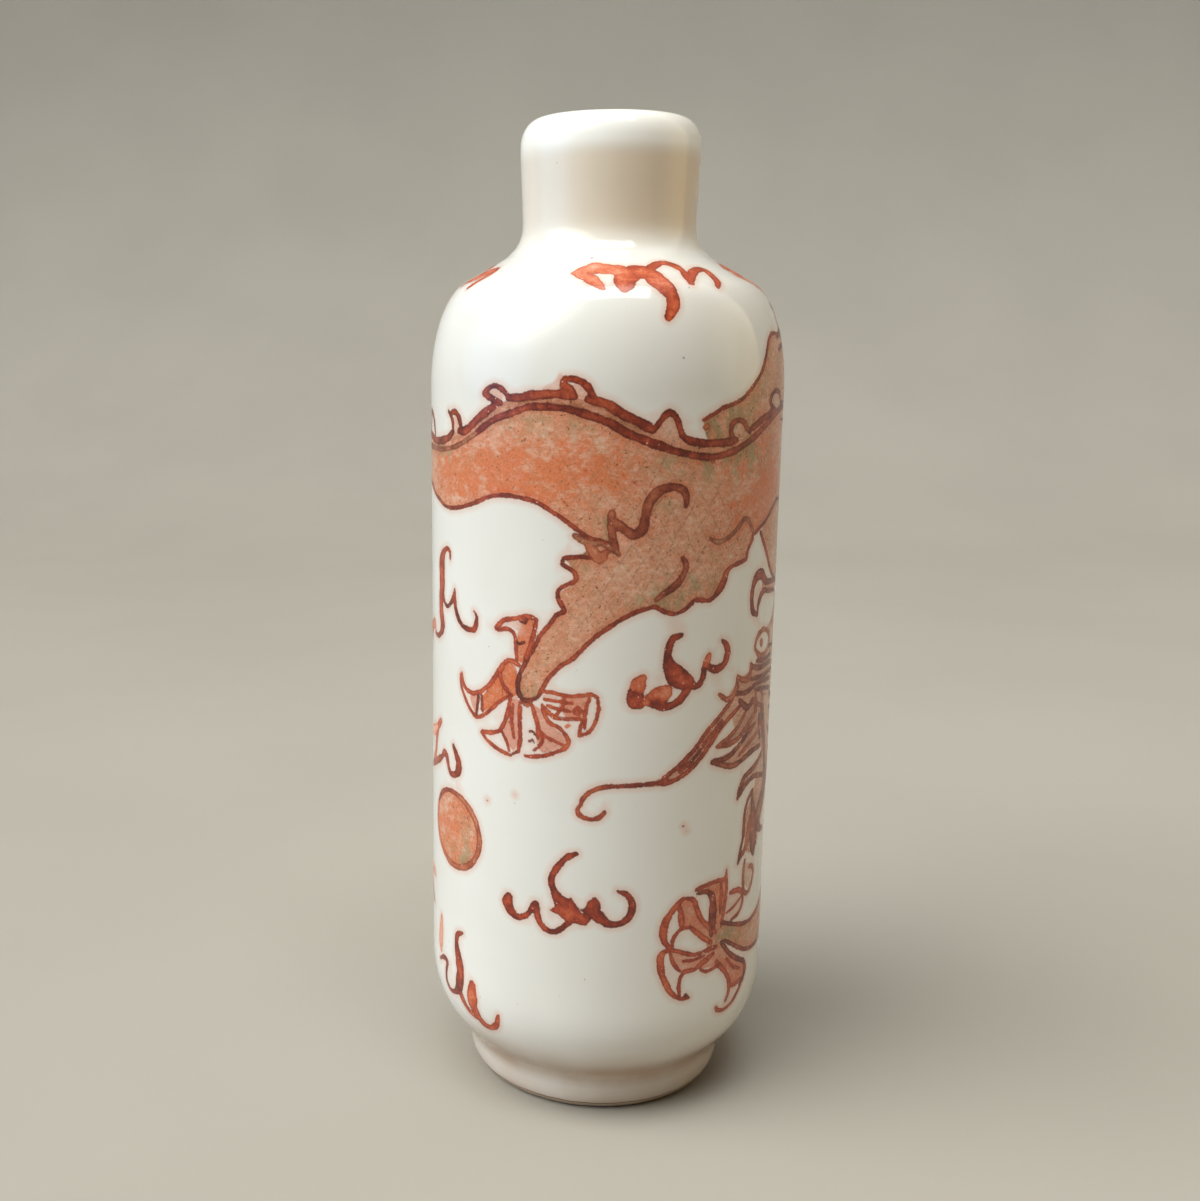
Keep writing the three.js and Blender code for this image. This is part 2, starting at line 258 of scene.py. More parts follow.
frontBody = {
    "lines": [
        ("crest", 0.56, [(-19, 54), (-17.5, 53.75), (-16.5, 53.65), (-15, 53.85), (-14, 54.15),
                         (-13.4, 54.6)]),
        ("crest", 0.6, [(-12.5, 54.7), (-11.8, 54.75), (-11, 55.2), (-10, 55.9), (-9, 56.5),
                        (-8.3, 56.9)]),
        ("crest", 0.62, [(-7.3, 57.4), (-6.5, 57.4), (-5.5, 57.6), (-3.2, 57.75), (-2.2, 57.6)]),
        ("crest", 0.7, [(-1.2, 57.4), (-0.6, 57.3), (0.3, 57), (1.2, 56.4), (2.3, 55.9), (3.4, 55.3)]),
        ("crest", 0.55, [(5.6, 54.9), (6.2, 54.5), (7.5, 54.25), (9.5, 54.25), (10.5, 54.35)]),
        ("crest", 0.5, [(12, 55), (13, 55.4), (14, 55.8), (15.2, 56.1), (16.2, 56.2)]),
        ("moss", 0.36, [(-19, 53.2), (-17, 53.05), (-15, 53.15), (-13, 53.5), (-11.5, 54.1),
                        (-10, 54.9)]),
        ("crest", 0.5, [(-10.4, 54.7), (-8.5, 55.8), (-7, 56.3), (-5.5, 56.8), (-3, 56.75),
                        (-1.8, 56.5)]),
        ("crest", 0.62, [(-2, 56.55), (-0.5, 56.1), (0.5, 55.7), (1.5, 55.1), (2.5, 54.7), (3.6, 54.3),
                         (5, 53.8)]),
        ("crest", 0.5, [(4.8, 53.85), (6.5, 53.45), (8, 53.25), (10, 53.5), (12, 54.2), (14, 55.1),
                        (16, 55.9), (18, 56.4)]),
        ("crest", 0.36, [(-13.4, 54.5), (-13.4, 55.2), (-13.7, 55.8), (-14.1, 56.05)]),
        ("crest", 0.46, [(-12.2, 54.8), (-12.4, 55.5), (-12.8, 56), (-13.3, 56.1), (-13.7, 55.9)]),
        ("crest", 0.5, [(-8, 57), (-8.9, 57.3), (-9.6, 57.6)]),
        ("crest", 0.4, [(-9.6, 57.7), (-9.2, 57.95), (-8.6, 58.2), (-7.9, 58), (-7.3, 57.5)]),
        ("crest", 0.62, [(-2.2, 57.6), (-2.6, 58.1), (-3, 58.4), (-2.9, 58.8)]),
        ("crest", 0.5, [(-2.9, 58.8), (-2.2, 58.8), (-1.5, 58.5), (-1, 57.9), (-0.7, 57.4)]),
        ("crest", 0.46, [(3.5, 55.3), (3.9, 55.8), (4.2, 56.2), (4.6, 56.5), (5, 56.3), (5.3, 55.8),
                         (5.5, 55.2), (5.9, 54.6)]),
        ("crest", 0.42, [(10.3, 54.3), (9.9, 54.9), (10, 55.5), (10.6, 55.8), (11.3, 55.6), (11.6, 55.2),
                         (12, 54.9)]),
        ("crest", 0.4, [(16.2, 56.2), (15.3, 56.6), (15, 57), (15.4, 57.5), (16.3, 57.7), (17.2, 57.4),
                        (17.6, 56.8)]),
        ("belly", 0.3, [(-19, 50.1), (-18, 49.8), (-17, 49.4), (-16, 49.15), (-15, 48.85), (-14, 48.75),
                        (-13, 48.85), (-12, 49.05), (-10.5, 49.5), (-9, 50.1), (-7.8, 50.3),
                        (-6.5, 50.25), (-5, 50), (-3.8, 49.4), (-2.8, 48.8), (-1.8, 48.1), (-1, 47.6),
                        (-0.3, 47.4), (0.5, 47.2)]),
        ("moss", 0.5, [(-2, 47.7), (-1, 47.2), (0, 47.2), (0.7, 46.8)]),
        ("hairThin", 0.8, [(-1.2, 47.3, 0.5), (-0.7, 46.6), (-0.2, 46.1), (0.3, 46.6, 0.5)]),
        ("moss", 0.4, [(0.6, 47.4), (0.9, 46.7), (1.2, 46.4)]),
        ("belly", 0.3, [(13, 47.1), (14, 47.5), (15.3, 48.1), (16.5, 48.8), (17.8, 49.3)]),
        ("hook", 0.6, [(0.62, 49.35), (0.6, 48.6), (0.7, 47.6), (0.95, 46.7)]),
        ("hook", 0.72, [(0.7, 48.9, 0.5), (1.3, 48.4), (2.2, 47.85), (2.8, 48.1), (3.05, 48.9),
                        (3.15, 49.7), (3.45, 50.4), (4.1, 51), (5, 51.2, 0.6), (5.8, 51, 0.55),
                        (6.15, 50.4, 0.5), (6.1, 49.8, 0.45)]),
        ("belly", 0.3, [(7.3, 55.9), (8, 56.2), (9, 56.7), (10.5, 57.1), (11.5, 57.6), (12.5, 58.4),
                        (13.5, 59.3), (14.2, 60.3), (14.8, 61.2), (15.6, 61.8), (16.5, 62), (17.8, 61.8),
                        (19.5, 61.7)]),
        ("belly", 0.32, [(-0.6, 46.1), (-1.4, 46.2), (-2.2, 46.1), (-2.8, 46), (-2.9, 45.6), (-2.4, 45.3),
                         (-1.9, 44.9), (-1.9, 44.4), (-2.5, 44.1), (-3.1, 43.7), (-3.2, 43.1),
                         (-2.9, 42.6), (-2.7, 42.1), (-3.3, 41.8), (-3.6, 41.3), (-4, 40.8), (-4.5, 40.2),
                         (-4.9, 39.3), (-5.4, 38.5)]),
        ("toeDark", 0.4, [(-5.4, 38.5), (-6, 37.3), (-6.3, 36.3), (-6.2, 35.5), (-5.8, 35.1),
                          (-5.2, 35.1)]),
        ("belly", 0.32, [(13, 47.3), (13, 46.8), (12.5, 46.2), (12.2, 45.4), (11.5, 45.2), (10.5, 45),
                         (10, 44.6, 0.5), (9.8, 44, 0.6), (9.3, 43.3, 0.5), (8.5, 42.7), (7.2, 42.8),
                         (6.5, 42.3), (5.5, 41.9), (4.5, 42.2), (4, 42.5), (3, 42.3), (2, 41.9),
                         (1, 41.3), (0, 40.6), (-1, 39.7), (-2, 38.6), (-3, 37.9), (-3.8, 37),
                         (-4.3, 36.1), (-4.7, 35.4), (-5.4, 35.1)]),
        ("moss", 0.34, [(8.3, 47.3), (9, 47), (10, 47.2), (11, 47.8), (11.9, 48.5), (12.6, 48),
                        (13, 47.3)]),
        ("hook", 0.42, [(4, 43), (4.8, 43.6), (5.6, 44.1, 0.6), (6.1, 44.8, 0.5), (6.3, 45.5), (6, 46)]),
        ("belly", 0.36, [(14.2, 47.2), (14.8, 46.4), (15.5, 45.5), (16.3, 44.4), (17.2, 43.6),
                         (18.5, 42.9)]),
    ],
    "fills": [
        (0.3, 0.25, 1.0, [(-19, 53.9), (-16.5, 53.5), (-13.4, 54.4), (-12.3, 54.7), (-10, 55.8),
                          (-7.3, 57.3), (-3, 57.7), (-0.6, 57.2), (3.4, 55.2), (6.2, 54.4), (10.5, 54.3),
                          (14, 55.7), (18, 56.5), (22, 56.3), (27, 53.6), (30.5, 48.5), (31, 43),
                          (29, 38.5), (25.5, 36.5), (23.8, 39), (25, 43), (24.5, 46.5), (22, 49),
                          (19.5, 49.6), (17.8, 49.3), (15.3, 48.1), (13, 47.1), (8, 45.5), (0.5, 47.1),
                          (-1.8, 48.1), (-3.8, 49.4), (-6.5, 50.2), (-9, 50), (-12, 49), (-14, 48.8),
                          (-17, 49.4), (-19, 50.1), (-20, 50.2), (-20, 54)]),
        (0.15, 0.35, 1.0, [(-0.3, 47.5), (6, 49), (13, 47.3), (12.4, 46), (12, 45.3), (10.3, 45),
                           (9.6, 43.5), (8.5, 42.8), (7.2, 42.8), (5.5, 42), (4, 42.4), (2, 41.8),
                           (0, 40.5), (-2, 38.6), (-3.8, 36.9), (-4.7, 35.4), (-5.4, 35.1), (-6.1, 35.5),
                           (-6.1, 36.5), (-5.4, 38.4), (-4.4, 40.2), (-3.4, 41.6), (-2.8, 42.4),
                           (-3.1, 43.4), (-2, 44.4), (-2.3, 45.3), (-2.6, 46), (-1.5, 46.3)]),
        (0.1, 0.6, 1.0, [(7.4, 55.9), (9, 56.6), (11.5, 57.5), (13.5, 59.3), (14.8, 61.1), (16.5, 61.9),
                         (20, 61.6), (24, 62.3), (28, 60), (26, 55), (18, 56.3), (14, 55.7), (10.5, 54.3),
                         (8, 54.3)]),
        (0.1, 0.4, 1.0, [(14.3, 47.1), (15.5, 45.5), (17.2, 43.6), (19.5, 42.6), (21.5, 43.5), (21, 46.5),
                         (19.5, 49.6), (17.8, 49.3), (15.8, 48.4)]),
        (-1.4, 0.0, 1.0, [(-19, 53.9), (-16.5, 53.6), (-13.4, 54.4), (-10, 55.8), (-7.3, 57.3),
                          (-3, 57.6), (-0.6, 57.2), (3.4, 55.2), (4, 54.2), (2.5, 54.7), (0.5, 55.7),
                          (-2, 56.5), (-5.5, 56.8), (-8.5, 55.9), (-10.4, 54.8), (-13, 53.6), (-16, 53.1),
                          (-19, 53.3)]),
        (0.9, 0.0, 0.4, [(-4.7, 57.9), (-4.2, 58.4), (-3.6, 58.7), (-3.3, 59.3), (-3, 58.9), (-2.9, 58.2),
                         (-3.4, 57.8)]),
        (0.1, 0.0, 0.55, [(-9.3, 57.4), (-8.9, 57.9), (-8.2, 57.9), (-7.7, 57.4), (-8.3, 57)]),
        (0.1, 0.0, 0.55, [(-13.3, 54.4), (-13.4, 55.6), (-12.9, 55.9), (-12.4, 55.4), (-12.2, 54.8)]),
        (0.1, 0.0, 0.6, [(-2.3, 57.6), (-2.3, 58.5), (-1.6, 58.3), (-1.1, 57.5)]),
        (0.1, 0.1, 0.85, [(3.4, 55.2), (4.2, 56), (4.6, 56.3), (5.1, 56), (5.7, 54.8), (6.4, 54.2),
                          (4.6, 53.6), (3, 54.6)]),
        (0.1, 0.1, 0.7, [(10.5, 54.6), (10.2, 55.4), (10.9, 55.5), (11.5, 55)]),
        (0.0, 0.1, 0.4, [(16, 56.5), (15.4, 57), (16, 57.4), (17, 57.2), (17.3, 56.7)]),
    ],
}

frontFoot = {
    "lines": [
        ("toe", 0.3, [(-6.4, 38.1), (-6.5, 39.2), (-6.6, 40), (-7.2, 40.35), (-8.1, 40.15)]),
        ("toe", 0.36, [(-8.3, 40.3), (-7.6, 40.95), (-6.5, 41.25), (-5.4, 41.5), (-4.8, 41.3)]),
        ("toe", 0.36, [(-4.8, 41.2), (-5, 40.3), (-5.3, 39.2), (-5.7, 38.3)]),
        ("toeDark", 0.24, [(-6.5, 39.5), (-6.2, 39.35), (-5.8, 39.5)]),
        ("toeDark", 0.2, [(-6.2, 41.1), (-5.7, 41), (-5.5, 41.4)]),
        ("toeDark", 0.3, [(-8.2, 40.25), (-8.1, 40.2)]),
        ("toe", 0.34, [(-6.2, 37.7), (-7, 38), (-7.7, 37.5), (-8.3, 36.6), (-9, 35.7), (-10, 35),
                       (-10.9, 34.75), (-11.6, 34.95), (-12, 35.5), (-12.1, 36.05)]),
        ("toe", 0.28, [(-12.3, 35.9), (-12.2, 35.1), (-11.7, 34.2), (-11, 33.4), (-10.3, 32.95),
                       (-9.6, 33.2), (-8.6, 34), (-7.7, 34.8), (-6.8, 35.3)]),
        ("toeDark", 0.28, [(-10.05, 34.9), (-10.15, 34.1), (-10.3, 33.1)]),
        ("toeDark", 0.26, [(-9.7, 34.8), (-9.65, 33.6)]),
        ("toe", 0.34, [(-7.6, 37.4), (-7.9, 36.9), (-7.6, 36), (-7, 35.4)]),
        ("toe", 0.34, [(-6.9, 35.3), (-7.1, 34.2), (-7.4, 33.2), (-7.9, 32.4), (-8.7, 32.05),
                       (-9.6, 31.95)]),
        ("toe", 0.3, [(-9.7, 31.85), (-9.2, 31.4), (-8.3, 30.95), (-7.4, 30.7), (-6.9, 30.6)]),
        ("toe", 0.34, [(-6.2, 31), (-6.05, 32.2), (-6.1, 33.5), (-6.1, 34.8)]),
        ("toe", 0.24, [(-7.7, 32.3), (-7.3, 31.7), (-7, 30.9)]),
        ("toeDark", 0.24, [(-7, 30.6), (-6.6, 30.8), (-6.2, 31.1)]),
        ("toe", 0.26, [(-6.7, 34.6), (-6.8, 33.4), (-6.6, 32)]),
        ("toe", 0.34, [(-5.1, 34.8), (-4.85, 34), (-4.6, 33.1), (-4.6, 32.3)]),
        ("toe", 0.3, [(-4.3, 34.9), (-4.1, 34.2), (-3.7, 33.6), (-3, 33.3), (-2.5, 32.8), (-2.2, 32.2),
                      (-2.5, 31.7), (-3.1, 31.4), (-4, 31), (-4.9, 30.8), (-5.6, 30.75)]),
        ("toe", 0.22, [(-4.5, 32.9), (-3.8, 32.4), (-3, 32.1), (-2.4, 31.9)]),
        ("toe", 0.26, [(-4.9, 31.3), (-4.4, 31.8), (-4.2, 32.4), (-4.6, 33)]),
        ("toeDark", 0.2, [(-5.3, 32.7), (-5, 32.75), (-4.8, 32.5)]),
        ("toeDark", 0.2, [(-5.3, 31.95), (-5, 32.1), (-4.9, 31.9)]),
        ("toe", 0.28, [(-4.4, 35.95), (-3.4, 35.9), (-2.3, 35.75), (-1.4, 35.85), (-0.6, 35.95),
                       (-0.1, 35.7)]),
        ("toe", 0.26, [(-0.1, 35.6), (-0.05, 34.8), (-0.25, 33.9), (-0.7, 33.1), (-1.4, 32.75)]),
        ("toe", 0.26, [(-1.45, 32.8), (-1.35, 33.5), (-1.2, 34)]),
        ("toe", 0.3, [(-1.3, 34.05), (-2.2, 34), (-3.1, 34), (-3.7, 34.3), (-4.2, 34.8)]),
        ("toe", 0.3, [(-0.7, 35.7), (-0.95, 34.9), (-1.05, 34.1), (-1.05, 33.4)]),
        ("toe", 0.24, [(-1.9, 34.6), (-1.6, 34.95), (-1.35, 34.7), (-1.55, 34.4), (-1.9, 34.6)]),
        ("toe", 0.26, [(-4.1, 35.35), (-3.2, 35.3), (-2, 35.2)]),
        ("toe", 0.24, [(-3.2, 34.2), (-2.7, 34.9), (-2.6, 35.6)]),
        ("toe", 0.24, [(-3.9, 34.9), (-3.1, 34.7), (-2.2, 34.6)]),
        ("hairThin", 0.3, [(-6, 34.9), (-5.5, 34.7), (-5.2, 34.9)]),
        ("faint", 0.3, [(-2.4, 33.4), (-2.2, 33.5)]),
    ],
    "fills": [
        (1.2, 0.0, 0.95, [(-6.4, 38), (-6.4, 39.8), (-6.2, 40.6), (-6, 41.2), (-5.3, 41.4), (-4.9, 41),
                          (-5.3, 39.2), (-5.7, 38)]),
        (0.6, 0.0, 0.3, [(-8, 40.35), (-7, 40.6), (-6.3, 40.4), (-6.1, 41.1), (-7.2, 41)]),
        (1.3, 0.0, 1.0, [(-6.3, 35.4), (-6.5, 37.6), (-7.2, 37.9), (-8.2, 36.6), (-9.2, 35.3),
                         (-9.7, 34.7), (-9.7, 33.5), (-8.6, 34.1), (-7.4, 35)]),
        (1.2, 0.0, 0.7, [(-11, 34.5), (-10.1, 34.8), (-10.3, 33.2), (-10.9, 33.8)]),
        (1.2, 0.0, 0.7, [(-6.9, 35), (-7.2, 33.6), (-7.7, 32.5), (-7.1, 31.3), (-6.6, 31), (-6.2, 31.6),
                         (-6.1, 33.5), (-6.1, 35)]),
        (1.2, 0.0, 0.7, [(-5, 34.7), (-4.6, 33), (-4.7, 31.9), (-4.2, 31.2), (-3.1, 31.6), (-2.4, 32),
                         (-2.6, 32.7), (-3.6, 33.4), (-4.3, 34.5)]),
        (1.1, 0.0, 0.75, [(-2.9, 35.6), (-1.6, 35.75), (-0.6, 35.8), (-1, 34.8), (-1.3, 34.1),
                          (-2.4, 34.1), (-2.9, 34.8)]),
        (0.7, 0.0, 0.4, [(-4.3, 35.7), (-3, 35.6), (-3.1, 35.3), (-4.2, 35.3)]),
        (1.3, 0.0, 0.9, [(-1.2, 35.6), (-2.2, 35.4), (-2.6, 34.6), (-1.5, 34.1), (-0.9, 35)]),
    ],
}

lowerFoot = {
    "lines": [
        ("toeDark", 0.6, [(9.9, 15.9), (9.95, 17.2, 0.75), (9.95, 18.3, 0.8), (9.8, 19.1),
                          (9.3, 19.6, 0.4), (8.3, 19.65, 0.25)]),
        ("toe", 0.36, [(8.2, 20), (9.2, 20.15), (10.4, 20.25), (11.3, 20.2), (11.4, 20.9, 0.2)]),
        ("toe", 0.32, [(11.45, 20.1), (11.5, 19.3), (11.35, 18.2), (11.2, 17.2), (11, 16.3)]),
        ("toe", 0.3, [(10.8, 19.9), (10.85, 18.8), (10.8, 17.5)]),
        ("toe", 0.5, [(7, 19.5, 0.4), (6.3, 18.9), (5.55, 17.8, 0.62), (5.35, 16.9, 0.66), (5.55, 16.1),
                      (6, 15.6, 0.4)]),
        ("toe", 0.3, [(6.2, 15.7), (6.15, 16.1), (6.4, 16.6), (6.9, 17), (7.7, 17)]),
        ("toe", 0.4, [(6.95, 17.1), (6.85, 18.2, 0.55), (6.7, 19, 0.3)]),
        ("toe", 0.42, [(7.3, 19.5, 0.3), (8, 19.2), (8.4, 18.2), (8.9, 17.3), (9.7, 16.5), (10.3, 16)]),
        ("toe", 0.42, [(7.7, 17), (8.4, 16.4), (9.1, 15.8), (9.9, 15.2)]),
        ("toe", 0.32, [(10.5, 14.7, 0.4), (9.5, 14.7), (8.3, 14.6), (7.4, 14.9), (6.5, 15.3),
                       (5.7, 15.45, 0.4), (5.25, 15.1, 0.55), (5.2, 14.3, 0.6), (5.4, 13.4, 0.55),
                       (5.8, 12.5, 0.5), (6.3, 11.7, 0.4), (7.1, 11.15), (7.8, 11.1)]),
        ("toeDark", 0.42, [(7.5, 11.35), (7.65, 11.15)]),
        ("toe", 0.34, [(6.95, 11.5), (6.85, 12.3), (7, 13), (7.3, 13.35), (8.3, 13.4), (9.2, 13.8, 0.5),
                       (10.2, 14.2)]),
        ("toe", 0.3, [(6, 15.2), (6.3, 14.3), (6.9, 13.5)]),
        ("toe", 0.26, [(7.2, 14.3), (8.2, 14.2), (9.2, 14.3)]),
        ("toe", 0.3, [(8.9, 13.2), (9.4, 12.9), (10.2, 12.95), (11, 13.1)]),
        ("toeDark", 0.42, [(11.1, 14.9), (11.9, 13.9), (12.8, 13.1), (13.8, 12.5), (14.6, 12),
                           (14.85, 11.3), (14.5, 10.6), (13.9, 10.2)]),
        ("toe", 0.44, [(10.6, 13.4), (11.3, 12.6), (11.9, 11.9), (12.3, 11), (12.25, 10.2, 0.34),
                       (11.9, 9.6, 0.26)]),
        ("toe", 0.34, [(10.75, 9.4), (10.95, 9.1), (11.8, 8.85), (12.9, 9.15), (13.9, 10), (14.6, 10.5)]),
        ("toe", 0.34, [(12.2, 10.7), (13.2, 10.6), (14.2, 10.7)]),
        ("toe", 0.26, [(11.8, 13.3), (12.7, 12.3), (13.9, 11.7)]),
        ("scroll", 0.44, [(12, 18.8), (13.1, 18.7), (13.8, 18.2, 0.36), (13.9, 17.5, 0.32),
                          (13.3, 16.7, 0.32), (12.2, 16.4, 0.26)]),
        ("toe", 0.22, [(11.6, 17.2), (12.5, 17.45), (13.5, 17.9)]),
        ("belly", 0.36, [(11, 16.6), (12, 16.2), (13.2, 15.75), (14.5, 15.4), (16, 15.35), (18, 15.8),
                         (20, 16.6)]),
        ("belly", 0.34, [(11.5, 14.9), (12.6, 14.2), (13.6, 13.6), (14.8, 13), (16, 12.7), (18, 12.5),
                         (20, 12.9)]),
    ],
    "fills": [
        (0.7, 0.3, 1.0, [(9.6, 15.9), (9.6, 18.5), (9.8, 19.4), (9, 19.8), (11.3, 20.2), (11.4, 19),
                         (11, 16.3), (10.6, 15.4)]),
        (0.85, 0.1, 0.9, [(9.9, 15.4), (8.6, 16.4), (7.6, 17), (6.9, 17.1), (6.8, 18.4), (7, 19.4),
                          (8, 19), (8.5, 18), (9, 17.2), (10.2, 16.1)]),
        (0.8, 0.1, 0.8, [(10.4, 14.6), (8.3, 14.5), (6.5, 15.2), (6, 15), (6.3, 14.1), (6.9, 13.4),
                         (8.3, 13.5), (9.3, 13.2), (10.9, 13.2), (11, 14.4)]),
        (0.75, 0.2, 0.95, [(11.2, 14.7), (12.5, 13.3), (14.3, 12.1), (14.8, 11.2), (14.2, 10.6),
                           (12.3, 10.7), (12.1, 11.6), (11.2, 12.8), (10.6, 13.5)]),
        (0.6, 0.3, 0.95, [(9.4, 15.9), (10.2, 16.6), (11.2, 16.7), (11.7, 15.6), (11.4, 14.6),
                          (10.6, 13.9), (9.6, 14.4)]),
        (0.5, 0.0, 0.35, [(11.5, 18.6), (13, 18.7), (13.8, 17.9), (13.2, 16.8), (11.6, 16.5)]),
        (0.2, 0.0, 0.25, [(12, 10.3), (13.6, 10.4), (12.8, 9.4), (11.6, 9.1)]),
        (0.25, 0.45, 1.0, [(11, 16.5), (12, 16.1), (14.5, 15.3), (18, 15.7), (22, 17.5), (22, 13.5),
                           (18, 12.6), (14.8, 13.1), (12.4, 14.3), (11, 15.2)]),
    ],
}

hookClaw = {
    "lines": [
        ("crest", 0.5, [(14.25, 40.8, 0.45), (13.6, 41.1), (13.3, 42), (13.4, 43, 0.6),
                        (13.9, 43.8, 0.75), (14.8, 43.9, 0.8), (15.4, 43.4, 0.8), (16, 43.1, 0.5),
                        (17, 43, 0.45), (18.5, 42.9)]),
        ("crest", 0.34, [(14.3, 40.9), (14.4, 41.6), (14.8, 42.2, 0.5), (15.4, 42.5, 0.5), (16.4, 42.3),
                         (18.5, 42.1)]),
    ],
    "fills": [
        (0.5, 0.3, 0.9, [(15.2, 43.6), (16.5, 43), (19, 42.9), (19, 42.2), (16, 42.3), (14.9, 42.4)]),
        (0.0, 0.0, 0.3, [(14.2, 40.9), (13.7, 41.8), (13.8, 42.8), (14.4, 43.3), (14.8, 42.6),
                         (14.3, 41.6)]),
    ],
}

